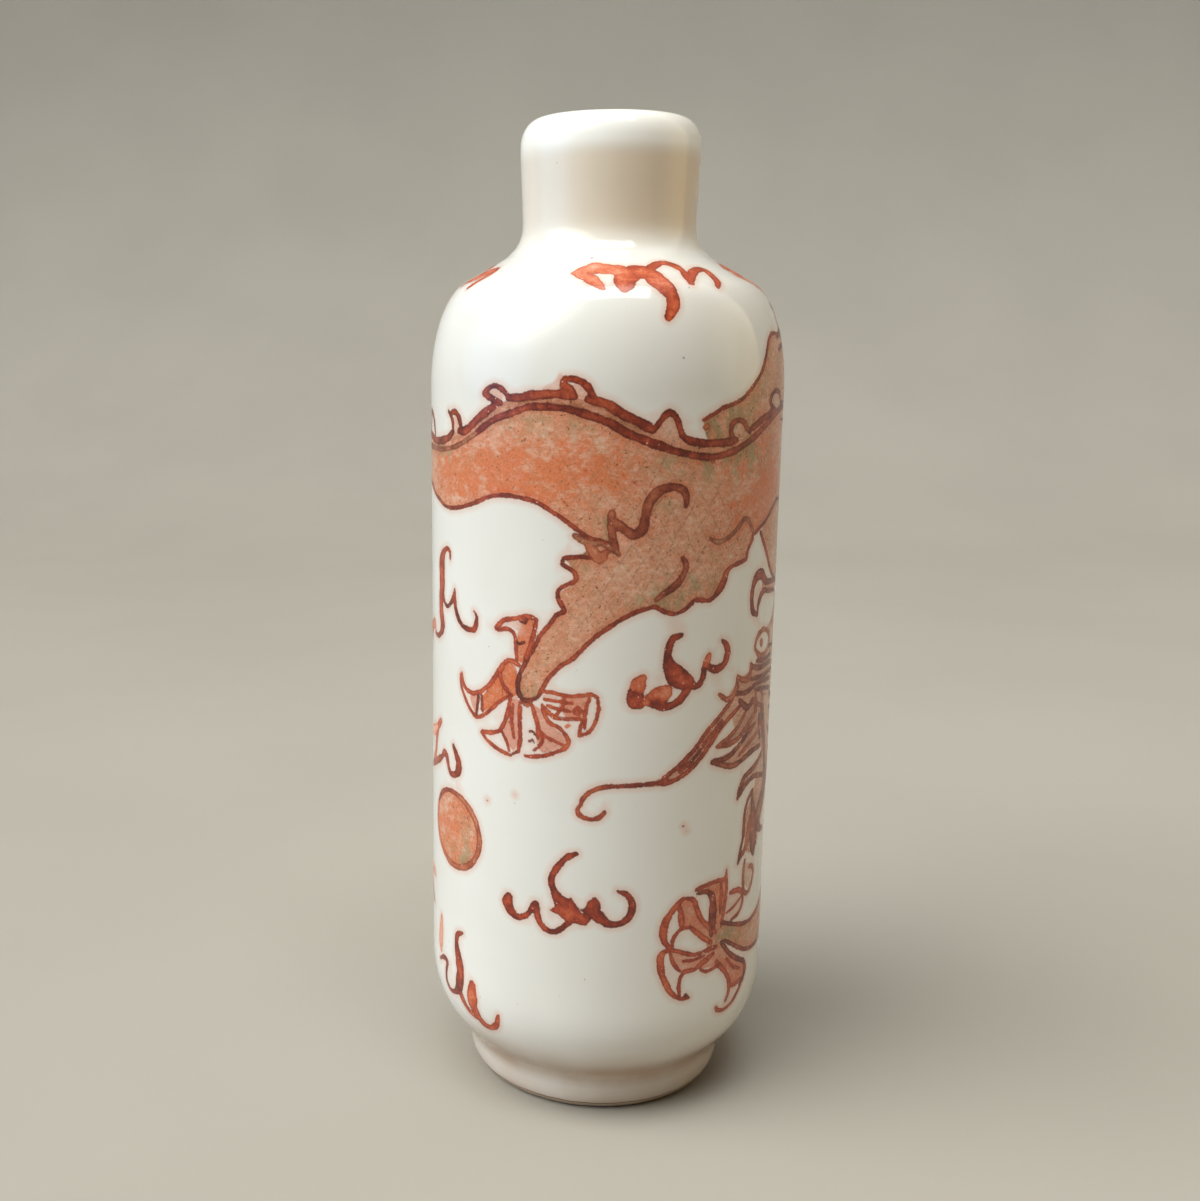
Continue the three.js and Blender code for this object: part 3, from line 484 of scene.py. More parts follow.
dragonHead = {
    "lines": [
        ("hairThin", 0.38, [(14.15, 38.3), (14.5, 39), (15.5, 39.4), (16.7, 39.1), (17.4, 38.4),
                            (17.1, 37.7), (16, 37.3), (14.9, 37.5), (14.2, 38.1)]),
        ("hairThin", 0.7, [(15.3, 38.45), (15.4, 38.35)]),
        ("hairThin", 0.42, [(9.8, 35.3), (10.6, 34.8), (11.3, 34.9), (11.7, 35.4), (11.8, 36.4)]),
        ("hairThin", 0.46, [(11.9, 36.3), (12.5, 36), (13.3, 35.9), (13.6, 36.4), (13.6, 37)]),
        ("hair", 0.42, [(13.7, 36.9), (14.4, 36.6), (15.4, 36.4), (16.7, 36.4), (18.5, 36.3)]),
        ("hair", 0.4, [(11.5, 35.1), (13, 34.9), (14.5, 35.2), (16, 35.2), (18.4, 34.9)]),
        ("hair", 0.36, [(13.8, 35.8), (15.5, 35.65), (17.5, 35.6), (19.5, 35.5)]),
        ("hair", 0.34, [(14.5, 34.8), (16.5, 34.5), (18.6, 34)]),
        ("hair", 0.36, [(14.6, 37.1), (16, 36.9), (18.4, 36.9)]),
        ("hair", 0.34, [(17.3, 37.8), (18.4, 37.6), (19.6, 37.6)]),
        ("hairThin", 0.32, [(14.6, 34.9), (14.8, 34), (15.3, 33.4), (16, 33.4), (16.2, 33.9),
                            (15.8, 34.5), (15, 34.8)]),
        ("whisker", 0.36, [(5, 29.4), (6.2, 30.2), (7.5, 31.3), (8.5, 32.4), (9.8, 33.5), (11.2, 34.6)]),
        ("whisker", 0.36, [(5, 28.9), (6.3, 29.3), (7.6, 30.1), (8.8, 31.3), (10, 32.6), (11.2, 33.4),
                           (12.4, 34)]),
        ("whisker", 0.3, [(6.3, 29.8), (7.6, 30.7), (8.8, 32), (10.2, 33.2)]),
        ("whisker", 0.34, [(5.2, 29.15, 0.6), (4.6, 29.05, 0.4), (3.5, 29), (2, 28.95), (0.8, 28.9),
                           (-0.3, 28.6), (-1, 28), (-1.3, 27.3)]),
        ("whisker", 0.36, [(-1.4, 27.2), (-1.45, 26.8), (-1.1, 26.45), (-0.4, 26.3), (0.2, 26.5),
                           (0.55, 26.9)]),
        ("hairThin", 0.42, [(9.7, 31.2, 0.3), (11, 31.15), (12.2, 31.4), (13.3, 32), (14.5, 32.8, 0.6)]),
        ("hairThin", 0.36, [(9.8, 31.3, 0.3), (11, 31.7), (12.2, 32.4), (13, 33.2)]),
        ("hair", 0.46, [(9.3, 30.1), (10.3, 29.7), (11.3, 29.35), (12.5, 29.4), (14, 29.8), (16, 29.9)]),
        ("hair", 0.42, [(9.4, 30.15), (10.8, 30.1), (12.2, 30.7), (13.5, 31.5), (14.8, 32)]),
        ("hairThin", 0.34, [(12.5, 30), (14, 30.7), (15.3, 31.2), (16, 32)]),
        ("hair", 0.46, [(12.5, 26.5), (12.8, 27.3), (13.4, 28), (14.5, 28.3), (15.5, 28.6),
                        (16.6, 29.1)]),
        ("hair", 0.42, [(12.6, 26.6), (13.6, 27.3), (15, 27.6), (16.5, 27.3), (17.8, 27)]),
        ("hair", 0.9, [(16.2, 33), (16.6, 31.5), (17.2, 30), (17.8, 28.4), (17.9, 26.8), (17.6, 25.2)]),
        ("hair", 0.4, [(15.6, 32.6), (15.6, 31.6), (16, 30.6)]),
        ("hair", 0.5, [(12.2, 34.4), (13.4, 33.6), (14.4, 34), (14.8, 33)]),
        ("hair", 0.38, [(14.9, 26.5), (14.2, 26), (13.7, 25.1), (13.6, 24), (13.55, 23), (13.3, 22.2),
                        (12.95, 21)]),
        ("hair", 1.3, [(14.85, 26.4, 0.35), (15, 25.3, 0.6), (15.4, 24), (15.5, 22.8, 1.5), (15.5, 21.8),
                       (15.7, 20.8, 0.3)]),
        ("hair", 1.6, [(19.5, 27.5), (18, 25.6), (16.8, 24.5), (16, 23.4)]),
        ("hairThin", 0.8, [(13.2, 21.2, 0.25), (14, 22, 0.6), (14.5, 23), (14.6, 24.4, 0.5)]),
        ("hair", 0.7, [(15.9, 22.5), (16.3, 21.5, 0.2)]),
        ("hair", 0.9, [(16.4, 23.1), (17.3, 22.5, 0.5), (18.3, 22.3, 0.25)]),
        ("hairThin", 0.38, [(14, 20.9), (13.85, 19.8), (13.9, 18.8), (14.3, 18), (15, 18), (15.6, 18.7),
                            (15.75, 19.5), (15.4, 20), (14.9, 20.05)]),
        ("hair", 0.5, [(18, 39.5), (19.5, 40.6), (21.5, 41), (23.2, 40.2)]),
        ("hair", 0.42, [(20, 38.8), (21.8, 39.6), (23.8, 39), (25.4, 37.6)]),
        ("hair", 0.5, [(18.6, 33.6), (20.4, 32.8), (22.4, 33.4), (24.4, 33.2), (26.4, 32)]),
        ("hair", 0.46, [(18.8, 32.4), (20.8, 31.4), (22.8, 31.6), (25, 30.6)]),
        ("hair", 0.44, [(18.4, 30.8), (20.2, 29.8), (22, 29.8), (24, 28.6)]),
        ("hair", 0.5, [(19.2, 29), (20.8, 27.8), (22.4, 27.6), (23.6, 26.6, 0.25)]),
        ("hairThin", 0.4, [(20.4, 37.6), (22, 37.9), (23.8, 37), (24.8, 35.6), (26.6, 34.6, 0.2)]),
        ("hairThin", 0.4, [(20.2, 36.2), (21.8, 36), (23.2, 35), (25.2, 34.4, 0.2)]),
    ],
    "fills": [
        (-0.3, 0.45, 0.9, [(10.8, 34.9), (11.9, 36), (13.6, 36.6), (14.6, 37.3), (14.8, 39), (16.8, 39.5),
                           (20, 40.5), (23.5, 40), (25.8, 36.8), (24.5, 33), (22, 31), (19.4, 28.6),
                           (18.5, 25), (15.6, 21.2), (14, 21.8), (13.8, 24.8), (15, 26.4), (16.4, 29.6),
                           (13, 29.6), (10.8, 30), (13.6, 31.7), (12, 31.9), (11.4, 33)]),
        (-0.4, 0.1, 0.85, [(3.5, 29), (5, 29.5), (7.5, 31.3), (9.8, 33.5), (11.3, 34.7), (12.4, 34.1),
                           (10.2, 32.4), (8.9, 31), (7.5, 29.9), (6.3, 29.2), (5, 28.8)]),
        (-0.6, 0.1, 0.8, [(9.8, 31.2), (11, 31.1), (13, 31.9), (14.6, 33), (13, 33.2), (11, 31.8)]),
        (-0.5, 0.1, 0.85, [(9.4, 30.1), (11, 29.4), (14, 29.8), (16, 29.9), (16, 32), (14.8, 32),
                           (12.2, 30.8)]),
        (-0.6, 0.1, 0.8, [(12.5, 26.5), (13.4, 28), (15.5, 28.7), (16.6, 29), (17.8, 27), (15, 27.5),
                          (13.4, 27.2)]),
        (0.1, 0.7, 0.6, [(14.3, 20.6), (14.1, 19), (14.8, 18.2), (15.4, 19), (15.4, 20)]),
    ],
    "bare": [(15.9, 38.35, 1.25, 0.8)],  # the white of the eye
}

pearl = {"u": -13.4, "v": 22.9, "acrossHalf": 3.45, "upHalf": 3.1}

cloudTallLeft = {
    "lines": [
        ("cloud", 0.4, [(-13.9, 44.8, 0.25), (-13.9, 45.3, 0.32), (-14.4, 45.5, 0.36), (-15.1, 45.1, 0.6),
                        (-15.5, 44.3, 1.1), (-15.5, 43.2, 1.2), (-15.5, 42.2, 1), (-15.7, 41.3, 0.95),
                        (-15.7, 40.3, 0.95), (-15.4, 39.3, 0.85), (-15.7, 38.6, 0.6), (-16.5, 38.15, 0.4),
                        (-17.5, 38.2, 0.3)]),
        ("cloud", 0.32, [(-15.2, 41.8, 0.5), (-15, 41.2), (-14.4, 40.95), (-13.8, 41.3),
                         (-13.3, 41.9, 0.45), (-13.15, 42.5, 0.25)]),
        ("cloud", 0.42, [(-13.15, 42.3), (-13.1, 41.4), (-12.8, 40.6), (-12.2, 39.95), (-11.4, 39.7),
                         (-10.6, 39.8), (-10.3, 40.4), (-10.3, 40.9, 0.28), (-10.6, 41.2, 0.16)]),
        ("scrollThin", 0.7, [(-17.3, 38.3, 0.3), (-17.9, 38.9), (-18.9, 38.4), (-20, 38)]),
    ],
    "fills": [],
}
cloudMiddleLeft = {
    "lines": [
        ("cloud", 0.55, [(-13.4, 29.8), (-12.95, 29.2, 0.65), (-12.6, 28.6, 0.75), (-12.7, 27.9, 0.75),
                         (-13.2, 27.5), (-13.9, 27.4, 0.45), (-14.3, 27.9, 0.45), (-14.6, 28.6, 0.6),
                         (-15.1, 28.8, 0.6), (-15.5, 28.4, 0.45), (-16.3, 27.9), (-17.5, 27.3),
                         (-19, 26.7)]),
        ("cloudThin", 0.62, [(-15.9, 31.2), (-16.6, 30.6), (-17.2, 29.4), (-17.5, 28.2), (-18.2, 27.4)]),
        ("faint", 0.8, [(-17, 30.4), (-18.2, 29.8), (-19.5, 29.6)]),
    ],
    "fills": [],
}
cloudLowLeft = {
    "lines": [
        ("cloud", 0.5, [(-12.1, 14.4, 0.3), (-12.8, 14), (-12.95, 13.1, 0.6), (-12.65, 12, 0.9),
                        (-12.4, 11, 1.1), (-12.5, 10, 1.05), (-12.7, 9.3, 0.85), (-13.3, 8.75),
                        (-14.2, 8.5, 0.42), (-14.8, 9, 0.36), (-14.8, 9.9, 0.38), (-14.6, 10.9, 0.45),
                        (-15.3, 10.95, 0.38), (-16.3, 10.4, 0.3)]),
        ("scroll", 0.55, [(-12.7, 9.4, 0.7), (-12.1, 8.4), (-11.4, 7.75), (-10.6, 7.5)]),
        ("scroll", 1.1, [(-10.8, 10.4, 0.95), (-10.85, 9.5), (-10.85, 8.7), (-10.5, 7.9, 0.85),
                         (-9.8, 7.2, 0.6), (-9, 7.15, 0.5), (-8.3, 7.7, 0.58), (-8, 8.7, 0.3)]),
        ("faint", 0.8, [(-15.85, 14.4, 0.4), (-15.95, 13.2), (-16.1, 12), (-16, 11.3, 0.4)]),
    ],
    "fills": [],
}
cloudCentre = {
    "lines": [
        ("cloud", 0.5, [(-7, 19.1, 0.9), (-7.1, 18.7, 1.05), (-6.85, 18.1, 0.75), (-6.2, 17.65, 0.5),
                        (-5.5, 17.9, 0.45), (-4.95, 18.6), (-4.65, 19.05), (-4.55, 18.4), (-4.3, 17.6),
                        (-3.7, 17.05, 0.44), (-3, 17, 0.4), (-2.4, 17.5, 0.46), (-1.9, 18, 0.6)]),
        ("cloud", 0.5, [(-1.5, 23.5, 0.4), (-2.2, 23.15), (-3, 22.2), (-3.4, 21.3), (-3.25, 20.5, 0.55),
                        (-2.8, 19.7, 0.9), (-2.3, 19.1, 1.4), (-1.9, 18.7, 1.6), (-1.4, 18.3, 1.1)]),
        ("cloud", 0.5, [(-3.4, 18.75, 0.25), (-2.7, 18.8, 0.7), (-2, 19)]),
        ("cloud", 0.9, [(-1.8, 18.7), (-1.2, 18.3), (-0.6, 18.5, 0.7)]),
        ("cloud", 0.7, [(-1.9, 19.8, 0.3), (-1.8, 19.2), (-1.3, 18.2), (-0.8, 18, 0.5),
                        (-0.5, 18.4, 0.5)]),
        ("cloud", 0.55, [(-1, 19, 0.2), (-0.3, 18.9, 0.9), (0.3, 18.5, 0.9), (0.9, 18, 0.6),
                         (1.5, 17.9, 0.5), (2.2, 18.1), (2.75, 18.8), (2.8, 19.6), (2.4, 20.3, 0.46),
                         (1.7, 20.6, 0.28)]),
        ("cloud", 0.9, [(-0.2, 18.9, 1.3), (-0.1, 19.4, 1), (-0.05, 19.9, 0.5)]),
    ],
    "fills": [],
}
cloudRight = {
    "lines": [
        ("cloudThin", 1.3, [(3.15, 37.2, 0.8), (2.85, 36.7, 1.25), (2.7, 36.2, 1.35)]),
        ("cloud", 1.3, [(2.6, 36.1, 1.3), (2.7, 35.5, 1.3), (3, 35.2, 0.9)]),
        ("cloudThin", 1.2, [(3.4, 35.4, 0.8), (4.2, 35.75, 1.3), (4.9, 36, 1.1), (5.2, 36.3, 0.7)]),
        ("cloud", 0.75, [(3.6, 35.4), (4.4, 35.1), (5.3, 34.95, 0.6), (6.2, 35.4, 0.65),
                         (6.8, 36.2, 0.8)]),
        ("cloud", 0.6, [(6.1, 40.3, 0.45), (5.4, 40.05, 0.55), (5.05, 39, 0.62), (5.2, 38, 1),
                        (5.7, 37.3, 1.45), (6.3, 36.8, 1.4), (6.8, 36.3, 0.7)]),
        ("cloud", 0.5, [(6.4, 37.3, 0.8), (7, 36.5, 0.8), (7.6, 36.25), (8.05, 36.8), (8.2, 37.6)]),
        ("cloudThin", 0.6, [(8.15, 37.4, 0.5), (8.4, 38, 0.6), (8.6, 38.5, 0.6)]),
        ("cloud", 0.55, [(8.3, 37.9, 0.4), (8.8, 37.5), (9.5, 37.35, 0.6), (10.2, 37.7, 0.62),
                         (10.5, 38.5, 0.6), (10.3, 39.1, 0.5), (9.85, 39.5, 0.3)]),
    ],
    "fills": [],
}
shoulderScroll = {
    "lines": [
        ("scrollThin", 1.5, [(-3.35, 67.3, 0.5), (-2.6, 67.7, 1.1), (-1.5, 68.05), (-0.3, 67.95),
                             (0.9, 67.75), (1.9, 67.5)]),
        ("scrollThin", 1.1, [(-3.2, 67.4, 0.7), (-2.3, 66.95), (-1.5, 66.5), (-0.8, 65.85, 0.8),
                             (-0.3, 65.4, 0.4)]),
        ("scroll", 1.7, [(1.3, 67.9, 1.1), (1.5, 67.1), (1.45, 66.1), (1.4, 65.5, 1.1)]),
        ("scroll", 1, [(1.5, 65.8, 0.8), (2.1, 66.5), (2.7, 67.1)]),
        ("scroll", 1.9, [(1.9, 67.6, 1.2), (2.8, 67.5), (3.8, 67.4), (4.5, 67)]),
        ("scroll", 1.8, [(3.7, 67.2), (4.4, 66.3), (5, 65.4, 1.5), (5.25, 64.6, 1.2), (5.1, 63.9, 0.95),
                         (4.65, 63.2, 0.7)]),
        ("scroll", 0.7, [(4.2, 68, 0.9), (5.1, 68.55, 0.8), (6, 68.9), (6.9, 68.8), (7.6, 68.3, 0.95),
                         (7.9, 67.8, 0.7)]),
        ("scroll", 0.9, [(7.8, 68.1, 0.8), (7.75, 67.3), (7.6, 66.6), (7.5, 66.1, 0.8)]),
        ("scroll", 0.75, [(7.4, 66.1), (8, 66.8, 0.8), (8.8, 67.5), (9.8, 67.98), (10.7, 68.05),
                          (11.05, 67.7, 0.9), (10.9, 67, 0.85), (10.6, 66.2, 0.75), (10.15, 65.7, 0.5)]),
    ],
    "fills": [],
}

# the side away from the front: more of the same dragon, with its own limbs and clouds
farSide = {
    "lines": [
        ("belly", 0.36, [(18, 15.8), (21.5, 17.4), (24, 20.6), (25.3, 24.6), (25.8, 29), (26.2, 32),
                         (26.7, 34.4)]),
        ("belly", 0.36, [(18, 12.5), (22, 13.4), (26, 16.4), (28.6, 20.6), (29.8, 26), (30.2, 32),
                         (30.1, 36), (29.7, 39)]),
        ("belly", 0.4, [(28.4, 20.4), (30.6, 19.6), (32.6, 20.4), (33.6, 22.6, 0.2)]),
        ("belly", 0.4, [(29.3, 23.4), (31.4, 23.2), (33.2, 24.6, 0.2)]),
        ("belly", 0.4, [(29.8, 26.4), (31.6, 26.8), (33, 28.4, 0.2)]),
        ("toe", 0.4, [(18.4, 42.9), (19.6, 42.6), (20.6, 41.4), (21, 40.9)]),
        ("toe", 0.4, [(19.6, 43.9), (21.4, 43.2), (22.8, 41.9), (22.7, 40.9, 0.2)]),
        ("toe", 0.4, [(20.6, 45), (22.4, 45), (23.7, 44), (24, 42.8, 0.2)]),
        ("toe", 0.36, [(18.5, 42.1), (19.2, 41.4), (19.4, 40.9, 0.2)]),
        ("scroll", 1.4, [(15.9, 68.3, 0.6), (17.2, 68.5), (18.8, 68.4, 1)]),
        ("scroll", 1.7, [(-17.6, 66.6, 0.9), (-16.6, 67.2), (-15.4, 67.9, 1.3), (-14.4, 68.3, 0.6)]),
    ],
    "fills": [
        (0.3, 0.35, 1.0, [(18, 15.7), (21.5, 17.3), (24, 20.6), (25.3, 24.6), (26, 31), (26.8, 37),
                          (29.2, 40), (30.1, 36), (30, 29), (28.6, 20.7), (26, 16.5), (22, 13.5),
                          (18, 12.6)]),
    ],
}
hindLeg = {
    "lines": [
        ("belly", 0.32, [(-2.8, 0.4), (-3.5, -1.2), (-2.8, -2.4), (-3.7, -3.6), (-3.2, -4.8), (-4.2, -6),
                         (-4.6, -7.6), (-5.2, -9), (-5.9, -10.4), (-6.2, -11.8)]),
        ("belly", 0.32, [(3.6, 0.4), (3.4, -1.4), (2.2, -2.4), (2.3, -3.8), (0.9, -4.6), (0.4, -5.6),
                         (-1.2, -6.2), (-2.2, -7.4), (-3.2, -8.8), (-4.1, -10.4), (-4.7, -11.8),
                         (-5.4, -12.3)]),
        ("hairThin", 0.46, [(-1.6, -1.2), (-0.6, -2), (0.4, -1.6), (0.4, -0.4), (1, 0.8), (2.2, 1)]),
    ],
    "fills": [
        (0.2, 0.35, 1.0, [(-2.8, 0.8), (-3.4, -1.4), (-2.9, -2.6), (-3.6, -3.6), (-3.3, -5), (-4.4, -7),
                          (-5.9, -10.4), (-6.1, -12), (-5.4, -12.3), (-4.6, -11.6), (-3.2, -8.8),
                          (-1.2, -6.2), (0.6, -5), (2.2, -3.8), (2.3, -2.4), (3.5, -1.2), (3.5, 0.8)]),
    ],
}
backBand = [(17.5, 59.2, 2.5), (22, 59.8, 2.9), (28, 60.2, 3), (35, 59.6, 3), (42, 57.6, 2.9),
            (49, 55.2, 2.7), (56, 53.2, 2.4), (62, 52.1, 2.1), (69, 52.02, 1.93), (70.6, 51.95, 1.87)]
neckBand = [(18, 52.85, 3.5), (22, 52.4, 3.7), (25.6, 50, 3.6), (27.7, 46, 3.4), (27.8, 42, 3.2),
            (26.9, 38, 2.9), (25.2, 34.8, 2.3)]

# places where the wash is stronger, mossier or marked with scales: u, v, half width, half height, amount
warmPatches = [(-9.5, 51.6, 4.6, 1.2, 0.95), (-1.5, 52.6, 2.8, 1.1, 0.9), (-5, 52.4, 4, 1.3, 0.6),
               (-13, 51.2, 2, 0.9, 0.5), (14.6, 51, 3.4, 2.2, 0.95), (-15.2, 23.6, 2, 2.4, 0.5),
               (2, 45, 1.6, 1.4, 0.25), (16, 14.2, 2, 1, 0.4), (33, 60, 5, 1.4, 0.7),
               (50, 55, 5, 1.3, 0.8), (26, 47, 1.8, 3, 0.5), (62, 52, 3, 1, 0.5)]
mossPatches = [(-15.5, 52.9, 3.4, 0.45, 0.7), (-3, 55.6, 6, 0.55, 0.55), (7, 52.8, 4, 0.7, 0.7),
               (11, 52.4, 2.4, 1.2, 0.45), (-1.4, 46.6, 1, 0.9, 0.8), (5, 42.9, 2.2, 0.7, 0.7),
               (7, 44.4, 1.6, 1, 0.45), (-5.3, 35.5, 0.9, 0.7, 0.9), (9.2, 55.6, 2.2, 1, 0.8),
               (0.2, 48.6, 0.45, 0.9, 0.8), (2.2, 49.3, 0.5, 0.5, 0.6), (4.6, 49.9, 0.9, 0.35, 0.8),
               (12.5, 53.6, 2, 0.8, 0.5), (-11.3, 22.4, 1.1, 1.8, 0.5), (-12.4, 20.6, 2.4, 0.8, 0.7),
               (12.2, 15.2, 1.6, 0.8, 0.9), (19.8, 46, 2, 3, 0.5), (30, 60, 6, 1, 0.4),
               (44, 57.6, 5, 0.8, 0.5)]
scalyPatches = [(4, 47.5, 6, 5.5, 1), (22, 53, 6, 3.5, 0.8), (45, 57, 9, 3, 0.7), (27.5, 44, 3, 6, 0.8)]
specks = [(-9.1, 26.5, 0.14), (-6.5, 27.5, 0.1), (6.8, 25.4, 0.14), (7.1, 24.95, 0.1), (7.6, 55.4, 0.5),
          (2.2, 51.6, 0.14), (8.3, 52.9, 0.3), (10.2, 49.4, 0.16)]


def smoothPath(points, closed=False, spacing=0.2):
    # a curve through given points, sampled evenly enough for measuring distances
    points = np.asarray(points, float)
    if closed:
        points = np.vstack([points[-1:], points, points[:2]])
    else:
        points = np.vstack([2 * points[:1] - points[1:2], points, 2 * points[-1:] - points[-2:-1]])
    samples = []
    for a, b, c, d in zip(points[:-3], points[1:-2], points[2:-1], points[3:]):
        reach = np.hypot(*(c - b)[:2])
        steps = max(int(reach / spacing), 1)
        t = (np.arange(steps) / steps)[:, None]
        startPull = min(reach / max(np.hypot(*(b - a)[:2]), 1e-6), 1)
        endPull = min(reach / max(np.hypot(*(d - c)[:2]), 1e-6), 1)
        startSlope = 0.5 * ((b - a) * startPull + (c - b))
        endSlope = 0.5 * ((d - c) * endPull + (c - b))
        samples.append((2 * t**3 - 3 * t**2 + 1) * b + (t**3 - 2 * t**2 + t) * startSlope
                       + (3 * t**2 - 2 * t**3) * c + (t**3 - t**2) * endSlope)
    samples.append(points[-2][None])
    return np.vstack(samples)


def runAlong(path):
    # the length of the path up to each of its points
    return np.concatenate([[0], np.cumsum(np.hypot(*np.diff(path[:, :2], axis=0).T))])


brushLines = []
washFills = []


def paint(motif, at=None, about=None, turn=0, size=1, mirror=False):
    # lays a motif on the wall, either where it was drawn or as a copy moved, turned and scaled
    drawn = [p[:2] for _, _, points in motif["lines"] for p in points]
    home = np.array(about) if about else np.mean(drawn, axis=0)
    goal = np.array(at) if at else home
    cosine, sine = math.cos(math.radians(turn)), math.sin(math.radians(turn))

    def moved(points):
        offset = np.asarray([p[:2] for p in points], float) - home
        if mirror:
            offset[:, 0] *= -1
        across, up = offset.T
        return goal + size * np.column_stack([cosine * across - sine * up, sine * across + cosine * up])

    for tone, width, points in motif["lines"]:
        widths = [p[2] if len(p) > 2 else width for p in points]
        path = smoothPath(np.column_stack([moved(points), np.array(widths) * size]))
        run = runAlong(path)
        toEnd = np.minimum(run, run[-1] - run)
        tremble = 1 + 0.07 * np.sin(2.3 * run + path[0, 0] * 3) + 0.05 * np.sin(5.1 * run + path[0, 1] * 5)
        taper = 0.8 + 0.2 * np.clip(toEnd / 0.5, 0, 1)
        brown, load = tones[tone]
        brushLines.append((path[:, :2], path[:, 2] / 2 * tremble * taper, brown, load))
    for warmth, moss, strength, points in motif["fills"]:
        washFills.append((smoothPath(moved(points), closed=True), warmth, moss, strength))


def bodyBand(middle, finEvery=5.6):
    # a length of the dragon's body: crest lines with fins on the left of its run, belly line on the right
    path = smoothPath(middle)
    run = runAlong(path)
    along = np.gradient(path[:, :2], axis=0)
    along /= np.linalg.norm(along, axis=1, keepdims=True)
    side = np.column_stack([-along[:, 1], along[:, 0]])
    half = path[:, 2:3]
    coarse = slice(None, None, 8)
    upper = path[:, :2] + side * half
    inner = path[:, :2] + side * (half - 0.95)
    lower = path[:, :2] - side * half
    lines = [("crest", 0.42, upper[coarse]), ("crest", 0.34, inner[coarse]), ("belly", 0.3, lower[coarse])]
    fin = [(-1.1, 0), (-1, 0.7), (-0.7, 1.3), (-0.9, 1.9), (-0.2, 1.8), (0.5, 1.4), (0.9, 0.7), (1.2, 0)]
    for place in np.arange(finEvery / 2, run[-1] - 1, finEvery):
        k = int(np.searchsorted(run, place))
        lines.append(("crest", 0.38, [tuple(upper[k] + a * along[k] + b * side[k]) for a, b in fin]))
    outline = np.vstack([upper[coarse], lower[::-8]])
    paint({"lines": lines, "fills": [(0.25, 0.35, 1.0, outline)]})


def ellipse(u, v, acrossHalf, upHalf, fromDegrees=0, toDegrees=330, count=12):
    angles = np.radians(np.linspace(fromDegrees, toDegrees, count))
    return [(u + acrossHalf * math.cos(a), v + upHalf * math.sin(a)) for a in angles]


def paintEverything():
    for motif in (frontBody, frontFoot, lowerFoot, hookClaw, dragonHead, cloudTallLeft, cloudMiddleLeft,
                  cloudLowLeft, cloudCentre, cloudRight, shoulderScroll, farSide):
        paint(motif)
    spot = (pearl["u"], pearl["v"], pearl["acrossHalf"], pearl["upHalf"])
    paint({
        "lines": [
            ("hairThin", 0.52, ellipse(*spot, -110, 80)),
            ("belly", 0.36, ellipse(*spot, 75, 155, 6)),
            ("scrollThin", 0.3, ellipse(*spot, 150, 255, 6)),
            ("moss", 0.3, ellipse(*spot, -80, 20, 8)),
        ],
        "fills": [(0.55, 0.1, 1.0, ellipse(*spot))],
    })
    bodyBand(backBand)
    bodyBand(neckBand, 5)
    footHeart = (-5.5, 35.5)
    paint(hindLeg, at=(42, 55.2), about=(0, 0))
    paint(frontFoot, at=(36.5, 43), about=footHeart, turn=6)
    paint(hindLeg, at=(57, 51.4), about=(0, 0), mirror=True)
    paint(frontFoot, at=(62.5, 39.2), about=footHeart, turn=-8, mirror=True)
    paint(cloudCentre, at=(50, 41), size=0.95)
    paint(cloudRight, at=(38.5, 29), mirror=True)
    paint(cloudTallLeft, at=(48.5, 24), size=0.9, turn=4)
    paint(cloudCentre, at=(60, 25), mirror=True, size=0.9)
    paint(cloudCentre, at=(30.5, 8.8), size=0.9, turn=-4)
    paint(cloudRight, at=(42, 13))
    paint(cloudLowLeft, at=(54.5, 12.5), mirror=True)
    paint(cloudMiddleLeft, at=(66.6, 16.5), mirror=True, size=0.9)
    for turnOn in (19.4, 41.5, 62.56):
        paint(shoulderScroll, at=(3.9 + turnOn, 67), about=(3.9, 67))
    for u, v, width in specks:
        ends = [(u - width / 5, v), (u + width / 5, v + width / 8)]
        paint({"lines": [("hairThin", width, ends)], "fills": []})


def wrapped(u, centre):
    return (u - centre + halfTurn) % (2 * halfTurn) - halfTurn + centre


def segmentGrid(points, path, closed):
    # for every point: the distance to each piece of the path, and how far along that piece
    start = path
    end = np.roll(path, -1, axis=0)
    if not closed:
        start, end = start[:-1], end[:-1]
    run = end - start
    size = np.maximum((run**2).sum(1), 1e-9)
    share = ((points[:, None] - start) * run).sum(2) / size
    share = np.clip(share, 0, 1)
    gap = points[:, None] - start - share[..., None] * run
    return np.hypot(gap[..., 0], gap[..., 1]), share, start, end


edgeReach = 1.3  # how far from an edge its distance is measured
farAway = 2.0  # the distance given everywhere else


def pointsNear(points, u, path, reach):
    # the points within reach of the box round a path, with u already turned to the path's side
    low, high = path.min(0) - reach, path.max(0) + reach
    v = points[:, 1]
    return np.flatnonzero((u > low[0]) & (u < high[0]) & (v > low[1]) & (v < high[1]))


def inkField(points):
    # signed distance to the nearest brush line's edge, with that line's brownness and thickness
    edge = np.full(len(points), farAway)
    brown = np.zeros(len(points))
    load = np.full(len(points), 0.6)
    layers = np.zeros(len(points))
    for path, halfWidths, lineBrown, lineLoad in brushLines:
        u = wrapped(points[:, 0], path[:, 0].mean())
        near = pointsNear(points, u, path, edgeReach + halfWidths.max())
        if not len(near):
            continue
        distance, share, _, _ = segmentGrid(np.column_stack([u[near], points[near, 1]]), path, False)
        width = halfWidths[:-1] + share * np.diff(halfWidths)
        signed = (distance - width).min(1)
        layers[near] += np.clip(0.5 - signed / 0.1, 0, 1)
        closer = signed < edge[near]
        chosen = near[closer]
        edge[chosen] = signed[closer]
        brown[chosen] = lineBrown
        load[chosen] = lineLoad
    return edge, brown, load * (1 + 0.08 * np.clip(layers - 1, 0, 2))


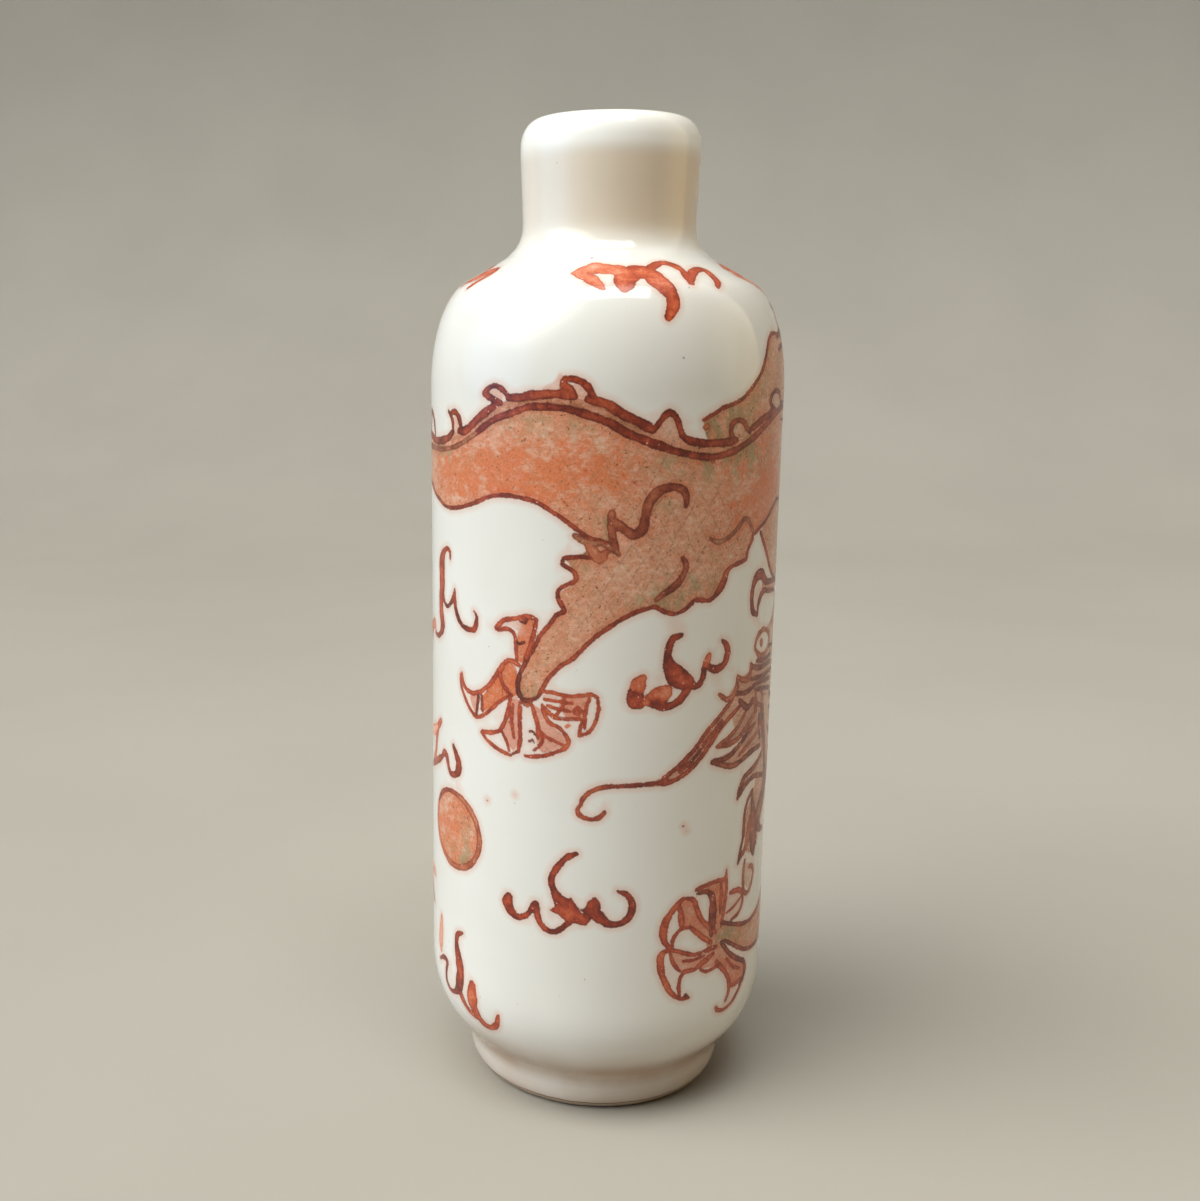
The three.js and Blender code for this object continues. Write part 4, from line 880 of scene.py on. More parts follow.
def patches(points, places):
    total = np.zeros(len(points))
    for u, v, acrossHalf, upHalf, amount in places:
        far = ((wrapped(points[:, 0], u) - u) / acrossHalf) ** 2 + ((points[:, 1] - v) / upHalf) ** 2
        total += amount * np.exp(-0.5 * far)
    return total


def washField(points):
    # signed distance to the wash's edge, and how warm, mossy and strong the wash is
    edge = np.full(len(points), farAway)
    sums = np.zeros((4, len(points)))
    for path, warmth, moss, strength in washFills:
        u = wrapped(points[:, 0], (path[:, 0].min() + path[:, 0].max()) / 2)
        near = pointsNear(points, u, path, edgeReach)
        if not len(near):
            continue
        local = np.column_stack([u[near], points[near, 1]])
        distance, _, start, end = segmentGrid(local, path, True)
        crosses = (start[:, 1] > local[:, 1:]) != (end[:, 1] > local[:, 1:])
        rise = np.where(np.abs(end[:, 1] - start[:, 1]) < 1e-9, 1e-9, end[:, 1] - start[:, 1])
        meets = start[:, 0] + (local[:, 1:] - start[:, 1]) * (end[:, 0] - start[:, 0]) / rise
        inside = (crosses & (local[:, :1] < meets)).sum(1) % 2 == 1
        signed = np.where(inside, -1, 1) * distance.min(1)
        edge[near] = np.minimum(edge[near], signed)
        weight = 1 / (1 + np.exp(np.clip(signed / 0.12, -30, 30))) + 1e-6
        sums[:, near] += weight * np.array([1, warmth, moss, strength])[:, None]
    total = np.maximum(sums[0], 1e-9)
    for u, v, acrossHalf, upHalf in dragonHead["bare"]:
        far = np.hypot((points[:, 0] - u) / acrossHalf, (points[:, 1] - v) / upHalf)
        edge = np.maximum(edge, (1 - far) * min(acrossHalf, upHalf))
    warm = np.clip(sums[1] / total + patches(points, warmPatches), -1.3, 1.3)
    moss = np.clip(sums[2] / total + patches(points, mossPatches) - 0.13, 0, 1.2)
    return edge, warm, moss, sums[3] / total


paintEverything()
print("painting laid out:", len(brushLines), "brush lines and", len(washFills), "washes")


def paintedPatch():
    # square cells of the unrolled wall, split wherever the edge of a brush line runs through them
    splits = mesh["splits"]
    unit = 2 ** splits
    cellWidth = 2 * halfTurn / mesh["columns"]
    columns, rows = np.meshgrid(np.arange(mesh["columns"]) * unit, np.arange(mesh["paintedRows"]) * unit)
    cells = np.column_stack([columns.ravel(), rows.ravel()])
    corners = []
    topRow = mesh["paintedRows"] * unit
    for level in range(splits + 1):
        size = unit >> level
        width = cellWidth * size / unit
        if level < splits:
            centres = (cells + size / 2) * cellWidth / unit + [-halfTurn, mesh["paintedLow"]]
            edge = np.abs(inkField(centres)[0])
            if level == 0:
                edge = np.minimum(edge, np.abs(washField(centres)[0]))
            cut = (edge < 0.5 * width) & (cells[:, 1] > 0) & (cells[:, 1] < topRow - unit)
        else:
            cut = np.zeros(len(cells), bool)
        whole = cells[~cut]
        corners += [whole, whole + [size, 0], whole + [0, size], whole + [size, size]]
        half = size // 2
        cells = np.vstack([cells[cut] + [a * half, b * half] for a in (0, 1) for b in (0, 1)])
    corners = np.unique(np.vstack(corners), axis=0)
    # both edges of the unrolled wall get the same heights, so that they can be joined
    turnUnits = mesh["columns"] * unit
    seam = np.unique(corners[(corners[:, 0] == 0) | (corners[:, 0] == turnUnits), 1])
    corners = np.unique(np.vstack([corners, np.column_stack([seam * 0, seam]),
                                   np.column_stack([seam * 0 + turnUnits, seam])]), axis=0)
    flat = corners * cellWidth / unit + [-halfTurn, mesh["paintedLow"]]
    result = delaunay_2d_cdt([Vector(p) for p in flat], [], [], 0, 1e-7)
    flat = np.array([tuple(p) for p in result[0]])
    triangles = np.array([face for face in result[2] if len(face) == 3])
    a, b, c = flat[triangles[:, 0]], flat[triangles[:, 1]], flat[triangles[:, 2]]
    area = (b - a)[:, 0] * (c - a)[:, 1] - (b - a)[:, 1] * (c - a)[:, 0]
    triangles = triangles[np.abs(area) > 1e-6]
    flip = area[np.abs(area) > 1e-6] < 0
    triangles[flip] = triangles[flip][:, ::-1]
    return flat, triangles


# where the foot's rim starts and where the lip is highest, along the unrolled profile
rimV = runToHeight + profileRun[int(np.argmax(profilePoints[:, 1] < 0.0005))]
lipV = runToHeight + profileRun[lipTop]


def ringPlaces(fromV, toV):
    # rings close together where the profile turns, further apart where it runs straight
    places = np.arange(fromV, toV, fineStep)
    radius, height = profileAt(places)
    angle = np.unwrap(np.arctan2(np.gradient(height), np.gradient(radius)))
    hollow = places > lipV + 2
    turn = np.radians(np.where(hollow, mesh["hollowTurnDegrees"], mesh["ringTurnDegrees"]))
    turned = np.abs(np.gradient(angle)) / turn
    turned += fineStep / np.where(hollow, mesh["hollowStep"], mesh["ringStep"])
    count = np.concatenate([[0], np.cumsum(turned)])[:-1]
    rings = max(int(round(count[-1])), 2)
    return np.interp(np.linspace(0, count[-1], rings + 1), count, places)


def buildBottle():
    flat, triangles = paintedPatch()
    print("painted wall:", len(flat), "points,", len(triangles), "triangles")
    lowV = mesh["paintedLow"]
    highV = lowV + mesh["paintedRows"] * 2 * halfTurn / mesh["columns"]
    # join the seam: points on the right edge become the ones on the left edge at the same height
    keyOf = {round(v, 4): k for k, (u, v) in enumerate(flat) if abs(u + halfTurn) < 1e-4}
    joined = np.arange(len(flat))
    for k in np.flatnonzero(np.abs(flat[:, 0] - halfTurn) < 1e-4):
        joined[k] = keyOf[round(flat[k, 1], 4)]
    kept = np.flatnonzero(joined == np.arange(len(flat)))
    renumber = np.full(len(flat), -1)
    renumber[kept] = np.arange(len(kept))
    places = [flat[kept]]
    faces = [renumber[joined[triangles]]]
    faceUs = [flat[triangles]]
    columnUs = -halfTurn + np.arange(mesh["columns"]) * 2 * halfTurn / mesh["columns"]

    def edgeRow(v):
        row = [k for k in kept if abs(flat[k, 1] - v) < 1e-4]
        return renumber[sorted(row, key=lambda k: flat[k, 0])]

    total = len(kept)
    firstV, lastV = profileRun[[0, -1]] + runToHeight
    for startV, ringVs in ((lowV, ringPlaces(firstV, lowV)[::-1]), (highV, ringPlaces(highV, lastV))):
        previous, previousV = edgeRow(startV), ringVs[0]
        for v in ringVs[1:-1]:
            row = total + np.arange(mesh["columns"])
            places.append(np.column_stack([columnUs, np.full(mesh["columns"], v)]))
            total += mesh["columns"]
            addRing(faces, faceUs, columnUs, previous, previousV, row, v)
            previous, previousV = row, v
        places.append(np.array([[0.0, ringVs[-1]]]))
        addCap(faces, faceUs, columnUs, previous, previousV, total, ringVs[-1])
        total += 1
    return np.vstack(places), np.vstack(faces), np.vstack(faceUs)


def addRing(faces, faceUs, columnUs, rowA, vA, rowB, vB):
    # two triangles for each column between two rows of points
    if vA > vB:
        rowA, vA, rowB, vB = rowB, vB, rowA, vA
    nextA, nextB = np.roll(rowA, -1), np.roll(rowB, -1)
    step = columnUs[1] - columnUs[0]
    left, right = columnUs, columnUs + step
    faces += [np.column_stack([rowA, nextA, nextB]), np.column_stack([rowA, nextB, rowB])]
    lower = [np.column_stack([left, left * 0 + vA]), np.column_stack([right, right * 0 + vA])]
    upper = [np.column_stack([left, left * 0 + vB]), np.column_stack([right, right * 0 + vB])]
    faceUs += [np.stack([lower[0], lower[1], upper[1]], 1), np.stack([lower[0], upper[1], upper[0]], 1)]


def addCap(faces, faceUs, columnUs, row, v, centre, centreV):
    # the middle of the underside or of the hollow's floor
    following = np.roll(row, -1)
    step = columnUs[1] - columnUs[0]
    middle = np.full(len(row), centre)
    left = np.column_stack([columnUs, columnUs * 0 + v])
    right = np.column_stack([columnUs + step, columnUs * 0 + v])
    tip = np.column_stack([columnUs + step / 2, columnUs * 0 + centreV])
    if centreV < v:
        faces.append(np.column_stack([middle, following, row]))
        faceUs.append(np.stack([tip, right, left], 1))
    else:
        faces.append(np.column_stack([row, following, middle]))
        faceUs.append(np.stack([left, right, tip], 1))


def unrolledPlace(faceUs):
    # where each face corner lies on the flat picture: the outside large, the rest in a strip beside it
    u, v = faceUs[..., 0], faceUs[..., 1]
    endV = profileRun[-1] + runToHeight
    middleV = v.mean(axis=-1, keepdims=True)
    outside = (middleV > rimV) & (middleV < lipV)
    hollow = middleV >= lipV
    across = (u + halfTurn) / (2 * halfTurn)
    outer = np.stack([0.004 + 0.87 * across, 0.004 + 0.99 * (v - rimV) / (lipV - rimV)], -1)
    inner = np.stack([0.885 + 0.11 * across, 0.17 + 0.82 * (v - lipV) / (endV - lipV)], -1)
    under = np.stack([0.885 + 0.11 * across, 0.004 + 0.15 * (v - profileRun[0] - runToHeight)
                      / (rimV - profileRun[0] - runToHeight)], -1)
    return np.where(outside[..., None], outer, np.where(hollow[..., None], inner, under))


def makeBottle():
    places, faces, faceUs = buildBottle()
    points = wallPoint(places[:, 0], places[:, 1])
    normals = wallNormal(places[:, 0], places[:, 1])
    onAxis = np.hypot(points[:, 0], points[:, 1]) < 1e-6
    underside = points[onAxis, 2:] < bottle["footRecessDepth"] + 0.1
    normals[onAxis] = np.where(underside, -1, 1) * np.array([0, 0, 1])
    data = bpy.data.meshes.new("paintedBottle")
    data.from_pydata((points * mm).tolist(), [], faces.tolist())
    data.polygons.foreach_set("use_smooth", np.ones(len(faces), bool))
    unrolled = data.uv_layers.new(name="OFBake")
    unrolled.data.foreach_set("uv", unrolledPlace(faceUs).astype(np.float32).ravel())
    data.normals_split_custom_set_from_vertices(normals.tolist())
    onWall = (places[:, 1] > mesh["paintedLow"]) & (places[:, 1] < lipV - 4)
    inkEdge, inkBrown, inkLoad = inkField(places)
    washEdge, washWarm, washMoss, washStrength = washField(places)
    inkEdge = np.where(onWall, inkEdge, farAway)
    washEdge = np.where(onWall, washEdge, farAway)
    rimEnd = rimV + bottle["footRimWidth"] + bottle["bareFootHeight"]
    bareEdge = np.maximum(rimV - 0.3 - places[:, 1], places[:, 1] - rimEnd)
    values = {"inkEdge": inkEdge, "inkBrown": inkBrown, "inkLoad": inkLoad, "washEdge": washEdge,
              "washWarm": washWarm, "washMoss": washMoss, "washStrength": washStrength,
              "scaly": np.clip(patches(places, scalyPatches), 0, 1), "bareEdge": bareEdge}
    for name, value in values.items():
        data.attributes.new(name, "FLOAT", "POINT").data.foreach_set("value", value.astype(np.float32))
    piece = bpy.data.objects.new("paintedBottle", data)
    bpy.context.scene.collection.objects.link(piece)
    return piece


# the glaze and the enamel: colours are linear, and a ramp runs from a thin coat to a thick one
porcelain = {
    "white": (0.80, 0.78, 0.735),
    # painted glow: a whiter lip, standing in for light on the thin rim
    "paintedLipGlow": (0.95, 0.93, 0.88),
    # the neck's cream tone, also used as painted warm shade on its right side
    "neckCreamAndShade": (0.78, 0.66, 0.52),
    # a brown for glaze pooled round the foot, for painted shade in the groove, and for mottling the bare
    # clay
    "poolAndShadeBrown": (0.50, 0.365, 0.27),
    "bareClay": (0.46, 0.34, 0.24),
    "glazeEdge": (0.20, 0.10, 0.05),
    "halo": (0.95, 0.70, 0.62),
    "salmonPale": (0.75, 0.41, 0.27),
    "salmon": (0.65, 0.27, 0.15),
    "orange": (0.70, 0.20, 0.08),
    "brownWash": (0.30, 0.135, 0.075),
    "moss": (0.40, 0.29, 0.15),
    "bubble": (0.80, 0.50, 0.42),
    "speck": (0.17, 0.05, 0.022),
    "scaleLine": (0.25, 0.16, 0.09),
    "redRamp": [(0.0, (0.80, 0.52, 0.42)), (0.2, (0.74, 0.27, 0.155)), (0.4, (0.60, 0.125, 0.048)),
                (0.6, (0.42, 0.06, 0.022)), (0.8, (0.26, 0.032, 0.014)), (1.0, (0.13, 0.017, 0.010))],
    "brownRamp": [(0.0, (0.74, 0.62, 0.48)), (0.2, (0.58, 0.35, 0.21)), (0.4, (0.42, 0.17, 0.085)),
                  (0.6, (0.27, 0.075, 0.036)), (0.8, (0.15, 0.035, 0.018)), (1.0, (0.07, 0.018, 0.010))],
    # painted shade and pooled glaze: how dark the foot and the groove above it are, by height
    "footShadeAndStainHeight": 8.5,
    "footShadeAndStain": [(0.0, 0.8), (0.11, 0.7), (0.25, 0.5), (0.36, 0.85), (0.48, 0.95), (0.62, 0.6), (0.8, 0.2),
                  (1.0, 0.0)],
    "glazeRoughness": 0.09,
    "inkRoughness": 0.3,
    "clayRoughness": 0.75,
    "refraction": 1.5,
    "reliefStrength": 0.3,
    "reliefHeight": 0.1,
    "scalesRound": 30.0,  # half as many scales go round the bottle
    "scalesUp": 1300.0,
    "hatchingLeanDegrees": 40,
    "hatchingLength": 6,  # how many times longer than wide the streaks are
}
# how wide the marks in the glaze, the wash and the lines are, in millimetres
grains = {
    "clouds": 9,
    "footShadeAndStain": 5,
    "pinholes": 0.5,
    "swell": 7,
    "ripple": 1.4,
    "clay": 0.6,
    "bareLine": 2.5,
    "washEdge": 0.9,
    "washBlotches": 2.6,
    "washStrokes": 0.6,
    "washDabs": 1.5,
    "washMoss": 1.0,
    "washGrit": 0.17,
    "washHatching": 0.14,
    "washSpecks": 0.26,
    "lineWobble": 0.42,
    "lineFray": 0.13,
    "lineLoad": 1.3,
    "lineGrit": 0.2,
    "lineBubbles": 0.5,
}


def attribute(tree, name):
    node = tree.nodes.new("ShaderNodeAttribute")
    node.attribute_name = name
    return node.outputs["Fac"]


def parts(tree, vector):
    node = tree.nodes.new("ShaderNodeSeparateXYZ")
    tree.links.new(vector, node.inputs[0])
    return list(node.outputs)


def calc(tree, operation, a, b=0.0, c=None):
    node = tree.nodes.new("ShaderNodeMath")
    node.operation = operation
    for socket, value in zip(node.inputs, (a, b, c)):
        if value is None:
            continue
        if isinstance(value, (int, float)):
            socket.default_value = value
        else:
            tree.links.new(value, socket)
    return node.outputs[0]


def swing(tree, noise, amount):
    # noise round a half, turned into one that swings by this amount round nothing
    return calc(tree, "MULTIPLY_ADD", noise, amount, -amount / 2)


def fade(tree, value, fromLow, fromHigh, toLow=0.0, toHigh=1.0):
    node = tree.nodes.new("ShaderNodeMapRange")
    node.interpolation_type = "SMOOTHSTEP"
    tree.links.new(value, node.inputs["Value"])
    limits = {"From Min": fromLow, "From Max": fromHigh, "To Min": toLow, "To Max": toHigh}
    for name, number in limits.items():
        node.inputs[name].default_value = number
    return node.outputs["Result"]


def blendColour(tree, factor, a, b, blend="MIX"):
    node = tree.nodes.new("ShaderNodeMix")
    node.data_type = "RGBA"
    node.blend_type = blend
    for socket, value in zip((node.inputs[0], node.inputs[6], node.inputs[7]), (factor, a, b)):
        if isinstance(value, tuple):
            socket.default_value = (*value, 1)
        elif isinstance(value, (int, float)):
            socket.default_value = value
        else:
            tree.links.new(value, socket)
    return node.outputs[2]


def grain(tree, vector, size, detail=2.0, roughness=0.5, stretch=(1, 1, 1), offset=(0, 0, 0)):
    # noise whose lumps are about size millimetres across
    if stretch != (1, 1, 1) or offset != (0, 0, 0):
        mapping = tree.nodes.new("ShaderNodeMapping")
        mapping.inputs["Scale"].default_value = stretch
        mapping.inputs["Location"].default_value = offset
        tree.links.new(vector, mapping.inputs["Vector"])
        vector = mapping.outputs["Vector"]
    node = tree.nodes.new("ShaderNodeTexNoise")
    node.inputs["Scale"].default_value = 1 / (size * mm)
    node.inputs["Detail"].default_value = detail
    node.inputs["Roughness"].default_value = roughness
    tree.links.new(vector, node.inputs["Vector"])
    return node.outputs["Fac"]


def colourRamp(tree, value, stops):
    node = tree.nodes.new("ShaderNodeValToRGB")
    ramp = node.color_ramp
    while len(ramp.elements) < len(stops):
        ramp.elements.new(0.5)
    for element, (place, colour) in zip(ramp.elements, stops):
        element.position = place
        element.color = (*colour, 1)
    tree.links.new(value, node.inputs["Fac"])
    return node.outputs["Color"]


def hatching(tree, here):
    # short streaks, all leaning the same way
    mapping = tree.nodes.new("ShaderNodeMapping")
    mapping.vector_type = "TEXTURE"
    mapping.inputs["Rotation"].default_value = (0, math.radians(porcelain["hatchingLeanDegrees"]), 0)
    mapping.inputs["Scale"].default_value = (1, 1, porcelain["hatchingLength"])
    tree.links.new(here, mapping.inputs["Vector"])
    streaks = grain(tree, mapping.outputs["Vector"], grains["washHatching"], 2, 0.6)
    return fade(tree, streaks, 0.56, 0.68, 0.0, 0.4)


def scaleNet(tree, here, bend):
    # two sets of slanting lines that cross
    x, y, z = parts(tree, here)
    angle = calc(tree, "ARCTAN2", x, calc(tree, "MULTIPLY", y, -1.0))
    nets = []
    for lean in (1, -1):
        rise = calc(tree, "MULTIPLY", z, lean * porcelain["scalesUp"])
        phase = calc(tree, "MULTIPLY_ADD", angle, porcelain["scalesRound"], rise)
        sway = calc(tree, "ABSOLUTE", calc(tree, "SINE", calc(tree, "ADD", phase, bend)))
        nets.append(fade(tree, sway, 0.02, 0.2, 1.0, 0.0))
    return calc(tree, "MULTIPLY", calc(tree, "MAXIMUM", *nets), attribute(tree, "scaly"))


def washLayer(tree, here, glaze):
    # the thin wash on the dragon: mottled salmon and orange, mossy in places, grainy, with faint scales
    wander = swing(tree, grain(tree, here, grains["washEdge"], 3, 0.6), 0.34)
    edge = calc(tree, "ADD", attribute(tree, "washEdge"), wander)
    blotches = grain(tree, here, grains["washBlotches"], 5, 0.66)
    brushed = grain(tree, here, grains["washStrokes"], 4, 0.68, stretch=(1, 1, 2))
    depth = calc(tree, "ADD", calc(tree, "MULTIPLY", blotches, 0.5), calc(tree, "MULTIPLY", brushed, 0.5))
    colour = blendColour(tree, fade(tree, depth, 0.37, 0.63), porcelain["salmonPale"], porcelain["salmon"])
    # warmer in dabs, and brown where the warmth is below nothing
    dabs = grain(tree, here, grains["washDabs"], 5, 0.7, stretch=(1, 1, 1.7), offset=(0.2, 0, 0.1))
    warmth = calc(tree, "MULTIPLY", attribute(tree, "washWarm"), fade(tree, dabs, 0.38, 0.6, 0.45, 1.25))
    warmth = calc(tree, "MULTIPLY_ADD", calc(tree, "SUBTRACT", depth, 0.5), 1.3, warmth)
    colour = blendColour(tree, fade(tree, warmth, 0.1, 1.15), colour, porcelain["orange"])
    brown = calc(tree, "MULTIPLY", attribute(tree, "washWarm"), -1.0)
    brown = calc(tree, "ADD", brown, swing(tree, depth, 1.6))
    colour = blendColour(tree, fade(tree, brown, 0.1, 0.95, 0.0, 0.95), colour, porcelain["brownWash"])
    patchy = grain(tree, here, grains["washMoss"], 4, 0.65, stretch=(1, 1, 0.7), offset=(0.3, 0, 0))
    mossy = calc(tree, "MULTIPLY", attribute(tree, "washMoss"), fade(tree, patchy, 0.36, 0.62, 0.05, 1.25))
    colour = blendColour(tree, fade(tree, mossy, 0.0, 1.15, 0.0, 0.9), colour, porcelain["moss"])
    # grit, hatching, scales and dark specks
    grit = fade(tree, grain(tree, here, grains["washGrit"], 2, 0.6), 0.35, 0.65, 0.2, 0.0)
    colour = blendColour(tree, grit, colour, porcelain["scaleLine"], "MULTIPLY")
    hatched = calc(tree, "MULTIPLY", hatching(tree, here), fade(tree, blotches, 0.4, 0.6, 0.3, 1.0))
    colour = blendColour(tree, hatched, colour, porcelain["scaleLine"])
    scales = scaleNet(tree, here, swing(tree, patchy, 1.4))
    scales = calc(tree, "MULTIPLY", scales, fade(tree, brushed, 0.34, 0.6, 0.14, 0.62))
    colour = blendColour(tree, scales, colour, porcelain["scaleLine"])
    specked = fade(tree, grain(tree, here, grains["washSpecks"], offset=(0.1, 0.2, 0)), 0.635, 0.68)
    specked = calc(tree, "MULTIPLY", specked, fade(tree, blotches, 0.38, 0.62, 0.12, 0.8))
    colour = blendColour(tree, specked, colour, porcelain["speck"])
    cover = calc(tree, "MULTIPLY", fade(tree, edge, -0.1, 0.1, 1.0, 0.0), attribute(tree, "washStrength"))
    cover = calc(tree, "MULTIPLY", cover, fade(tree, depth, 0.32, 0.5, 0.84, 1.0))
    return blendColour(tree, cover, glaze, colour), cover


def bubbles(tree, here):
    # pinprick bubbles in the enamel, in a few of the cells
    cells = tree.nodes.new("ShaderNodeTexVoronoi")
    cells.inputs["Scale"].default_value = 1 / (grains["lineBubbles"] * mm)
    tree.links.new(here, cells.inputs["Vector"])
    chosen = fade(tree, calc(tree, "MULTIPLY", cells.outputs["Color"], 1.0), 0.55, 0.6)
    return calc(tree, "MULTIPLY", fade(tree, cells.outputs["Distance"], 0.09, 0.15, 0.8, 0.0), chosen)


def inkLayer(tree, here, ground):
    # the iron-red lines: ragged, grainy, pooled darker along the edge and thinner where the brush ran dry
    wobble = swing(tree, grain(tree, here, grains["lineWobble"], 2, 0.6), 0.16)
    frayed = swing(tree, grain(tree, here, grains["lineFray"], 3, 0.7), 0.2)
    edge = calc(tree, "ADD", attribute(tree, "inkEdge"), calc(tree, "ADD", wobble, frayed))
    cover = fade(tree, edge, -0.03, 0.07, 1.0, 0.0)
    halo = fade(tree, edge, 0.0, 0.62, 0.72, 0.0)
    ground = blendColour(tree, halo, ground, porcelain["halo"], "MULTIPLY")
    pooled = fade(tree, edge, -0.16, -0.03, 0.0, 0.2)
    thinned = fade(tree, edge, -0.6, -0.12, 0.14, 0.0)
    uneven = fade(tree, grain(tree, here, grains["lineLoad"], 4, 0.65), 0.34, 0.66, 0.56, 0.92)
    load = calc(tree, "MULTIPLY", attribute(tree, "inkLoad"), uneven)
    grit = swing(tree, grain(tree, here, grains["lineGrit"], 3, 0.7), 0.5)
    thick = calc(tree, "ADD", calc(tree, "ADD", load, grit), calc(tree, "SUBTRACT", pooled, thinned))
    colour = blendColour(tree, attribute(tree, "inkBrown"), colourRamp(tree, thick, porcelain["redRamp"]),
                         colourRamp(tree, thick, porcelain["brownRamp"]))
    colour = blendColour(tree, bubbles(tree, here), colour, porcelain["bubble"])
    return blendColour(tree, cover, ground, colour), cover


def glazeLayer(tree, here):
    # white, with a painted glow that makes the lip whiter, creamy down the neck, and with painted warm
    # shade deepening the cream towards the right of the front
    x, y, height = parts(tree, here)
    rootHeight = (bottle["height"] - bottle["neckLength"]) * mm
    lipHeight = (bottle["height"] - bottle["lipRoundingHeight"]) * mm
    toRight = calc(tree, "MULTIPLY_ADD", x, 0.8, calc(tree, "MULTIPLY", y, -0.6))
    creamAndShade = calc(tree, "MULTIPLY", fade(tree, height, rootHeight - 0.8 * mm, rootHeight + 2.2 * mm),
                  fade(tree, height, lipHeight - 1.5 * mm, lipHeight + 0.2 * mm, 1.0, 0.0))
    # painted shade: the cream is strongest to the right of the front
    creamAndShade = calc(tree, "MULTIPLY", creamAndShade, fade(tree, toRight, -3 * mm, 6 * mm, 0.4, 1.0))
    # painted glow: the lip is made whiter towards its top
    lipGlowMask = fade(tree, height, lipHeight - 1.5 * mm, lipHeight)
    white = blendColour(tree, lipGlowMask, porcelain["white"], porcelain["paintedLipGlow"])
    glaze = blendColour(tree, creamAndShade, white, porcelain["neckCreamAndShade"])
    # painted shade darkens the foot and the groove above it, over glaze that pools there, faintly cloudy
    # elsewhere, with a few dark pinholes
    pooledShade = calc(tree, "DIVIDE", height, porcelain["footShadeAndStainHeight"] * mm)
    pooledShade = colourRamp(tree, pooledShade, [(at, (tint,) * 3) for at, tint in porcelain["footShadeAndStain"]])
    patchy = fade(tree, grain(tree, here, grains["footShadeAndStain"], 3), 0.3, 0.7, 0.75, 1.05)
    cloudy = fade(tree, grain(tree, here, grains["clouds"], 2), 0.3, 0.7, 0.0, 0.08)
    tint = calc(tree, "ADD", calc(tree, "MULTIPLY", pooledShade, patchy), cloudy)
    glaze = blendColour(tree, tint, glaze, porcelain["poolAndShadeBrown"])
    pinholes = fade(tree, grain(tree, here, grains["pinholes"], 1, 0.4, offset=(0.4, 0.1, 0.2)), 0.8, 0.84)
    return blendColour(tree, calc(tree, "MULTIPLY", pinholes, 0.5), glaze, porcelain["speck"])


def footLayer(tree, here, glazed):
    # bare clay round the foot's rim, with a thin brown line where the glaze stops
    bareLine = calc(tree, "ADD", attribute(tree, "bareEdge"),
                    swing(tree, grain(tree, here, grains["bareLine"], 3), 0.5))
    bare = fade(tree, bareLine, -0.05, 0.05, 1.0, 0.0)
    mottled = fade(tree, grain(tree, here, grains["clay"], 4, 0.7), 0.35, 0.65)
    clay = blendColour(tree, mottled, porcelain["bareClay"], porcelain["poolAndShadeBrown"])
    clay = blendColour(tree, 0.7, clay, porcelain["bareClay"])
    colour = blendColour(tree, bare, glazed, clay)
    fromLine = calc(tree, "ABSOLUTE", calc(tree, "SUBTRACT", bareLine, 0.04))
    colour = blendColour(tree, fade(tree, fromLine, 0.03, 0.12, 0.85, 0.0), colour, porcelain["glazeEdge"])
    return colour, bare


def makeGlaze():
    material = bpy.data.materials.new("paintedPorcelain")
    material.use_nodes = True
    tree = material.node_tree
    shader = tree.nodes["Principled BSDF"]
    here = tree.nodes.new("ShaderNodeTexCoord").outputs["Object"]
    washed, washCover = washLayer(tree, here, glazeLayer(tree, here))
    inked, inkCover = inkLayer(tree, here, washed)
    colour, bare = footLayer(tree, here, inked)
    tree.links.new(colour, shader.inputs["Base Color"])
    painted = calc(tree, "MAXIMUM", inkCover, calc(tree, "MULTIPLY", washCover, 0.6))
    smooth = porcelain["glazeRoughness"]
    roughness = calc(tree, "MULTIPLY_ADD", painted, porcelain["inkRoughness"] - smooth, smooth)
    roughness = calc(tree, "MAXIMUM", roughness, calc(tree, "MULTIPLY", bare, porcelain["clayRoughness"]))
    tree.links.new(roughness, shader.inputs["Roughness"])
    # the glaze swells and ripples a little, and the lines stand up from it by a hair
    relief = calc(tree, "MULTIPLY_ADD", grain(tree, here, grains["swell"], 2, 0.4), 0.6,
                  calc(tree, "MULTIPLY", inkCover, 0.05))
    relief = calc(tree, "MULTIPLY_ADD", grain(tree, here, grains["ripple"], 2), 0.05, relief)
    bump = tree.nodes.new("ShaderNodeBump")
    bump.inputs["Strength"].default_value = porcelain["reliefStrength"]
    bump.inputs["Distance"].default_value = porcelain["reliefHeight"] * mm
    tree.links.new(relief, bump.inputs["Height"])
    tree.links.new(bump.outputs["Normal"], shader.inputs["Normal"])
    shader.inputs["IOR"].default_value = porcelain["refraction"]
    return material


paintedBottle = makeBottle()
paintedBottle.data.materials.append(makeGlaze())
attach(paintedBottle, "root")
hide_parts("bottle")
print("bottle made:", len(paintedBottle.data.polygons), "faces")

# a pale floor that curves up into a backdrop
studio = {
    "floorFront": -900,
    "floorBack": 260,
    "curveRadius": 240,
    "backdropTop": 900,
    "halfWidth": 1100,
    "curveSteps": 24,
    "colour": (0.41, 0.38, 0.335),
    "mottleSize": 60,
    "mottle": 0.05,
    "roughness": 0.85,
}


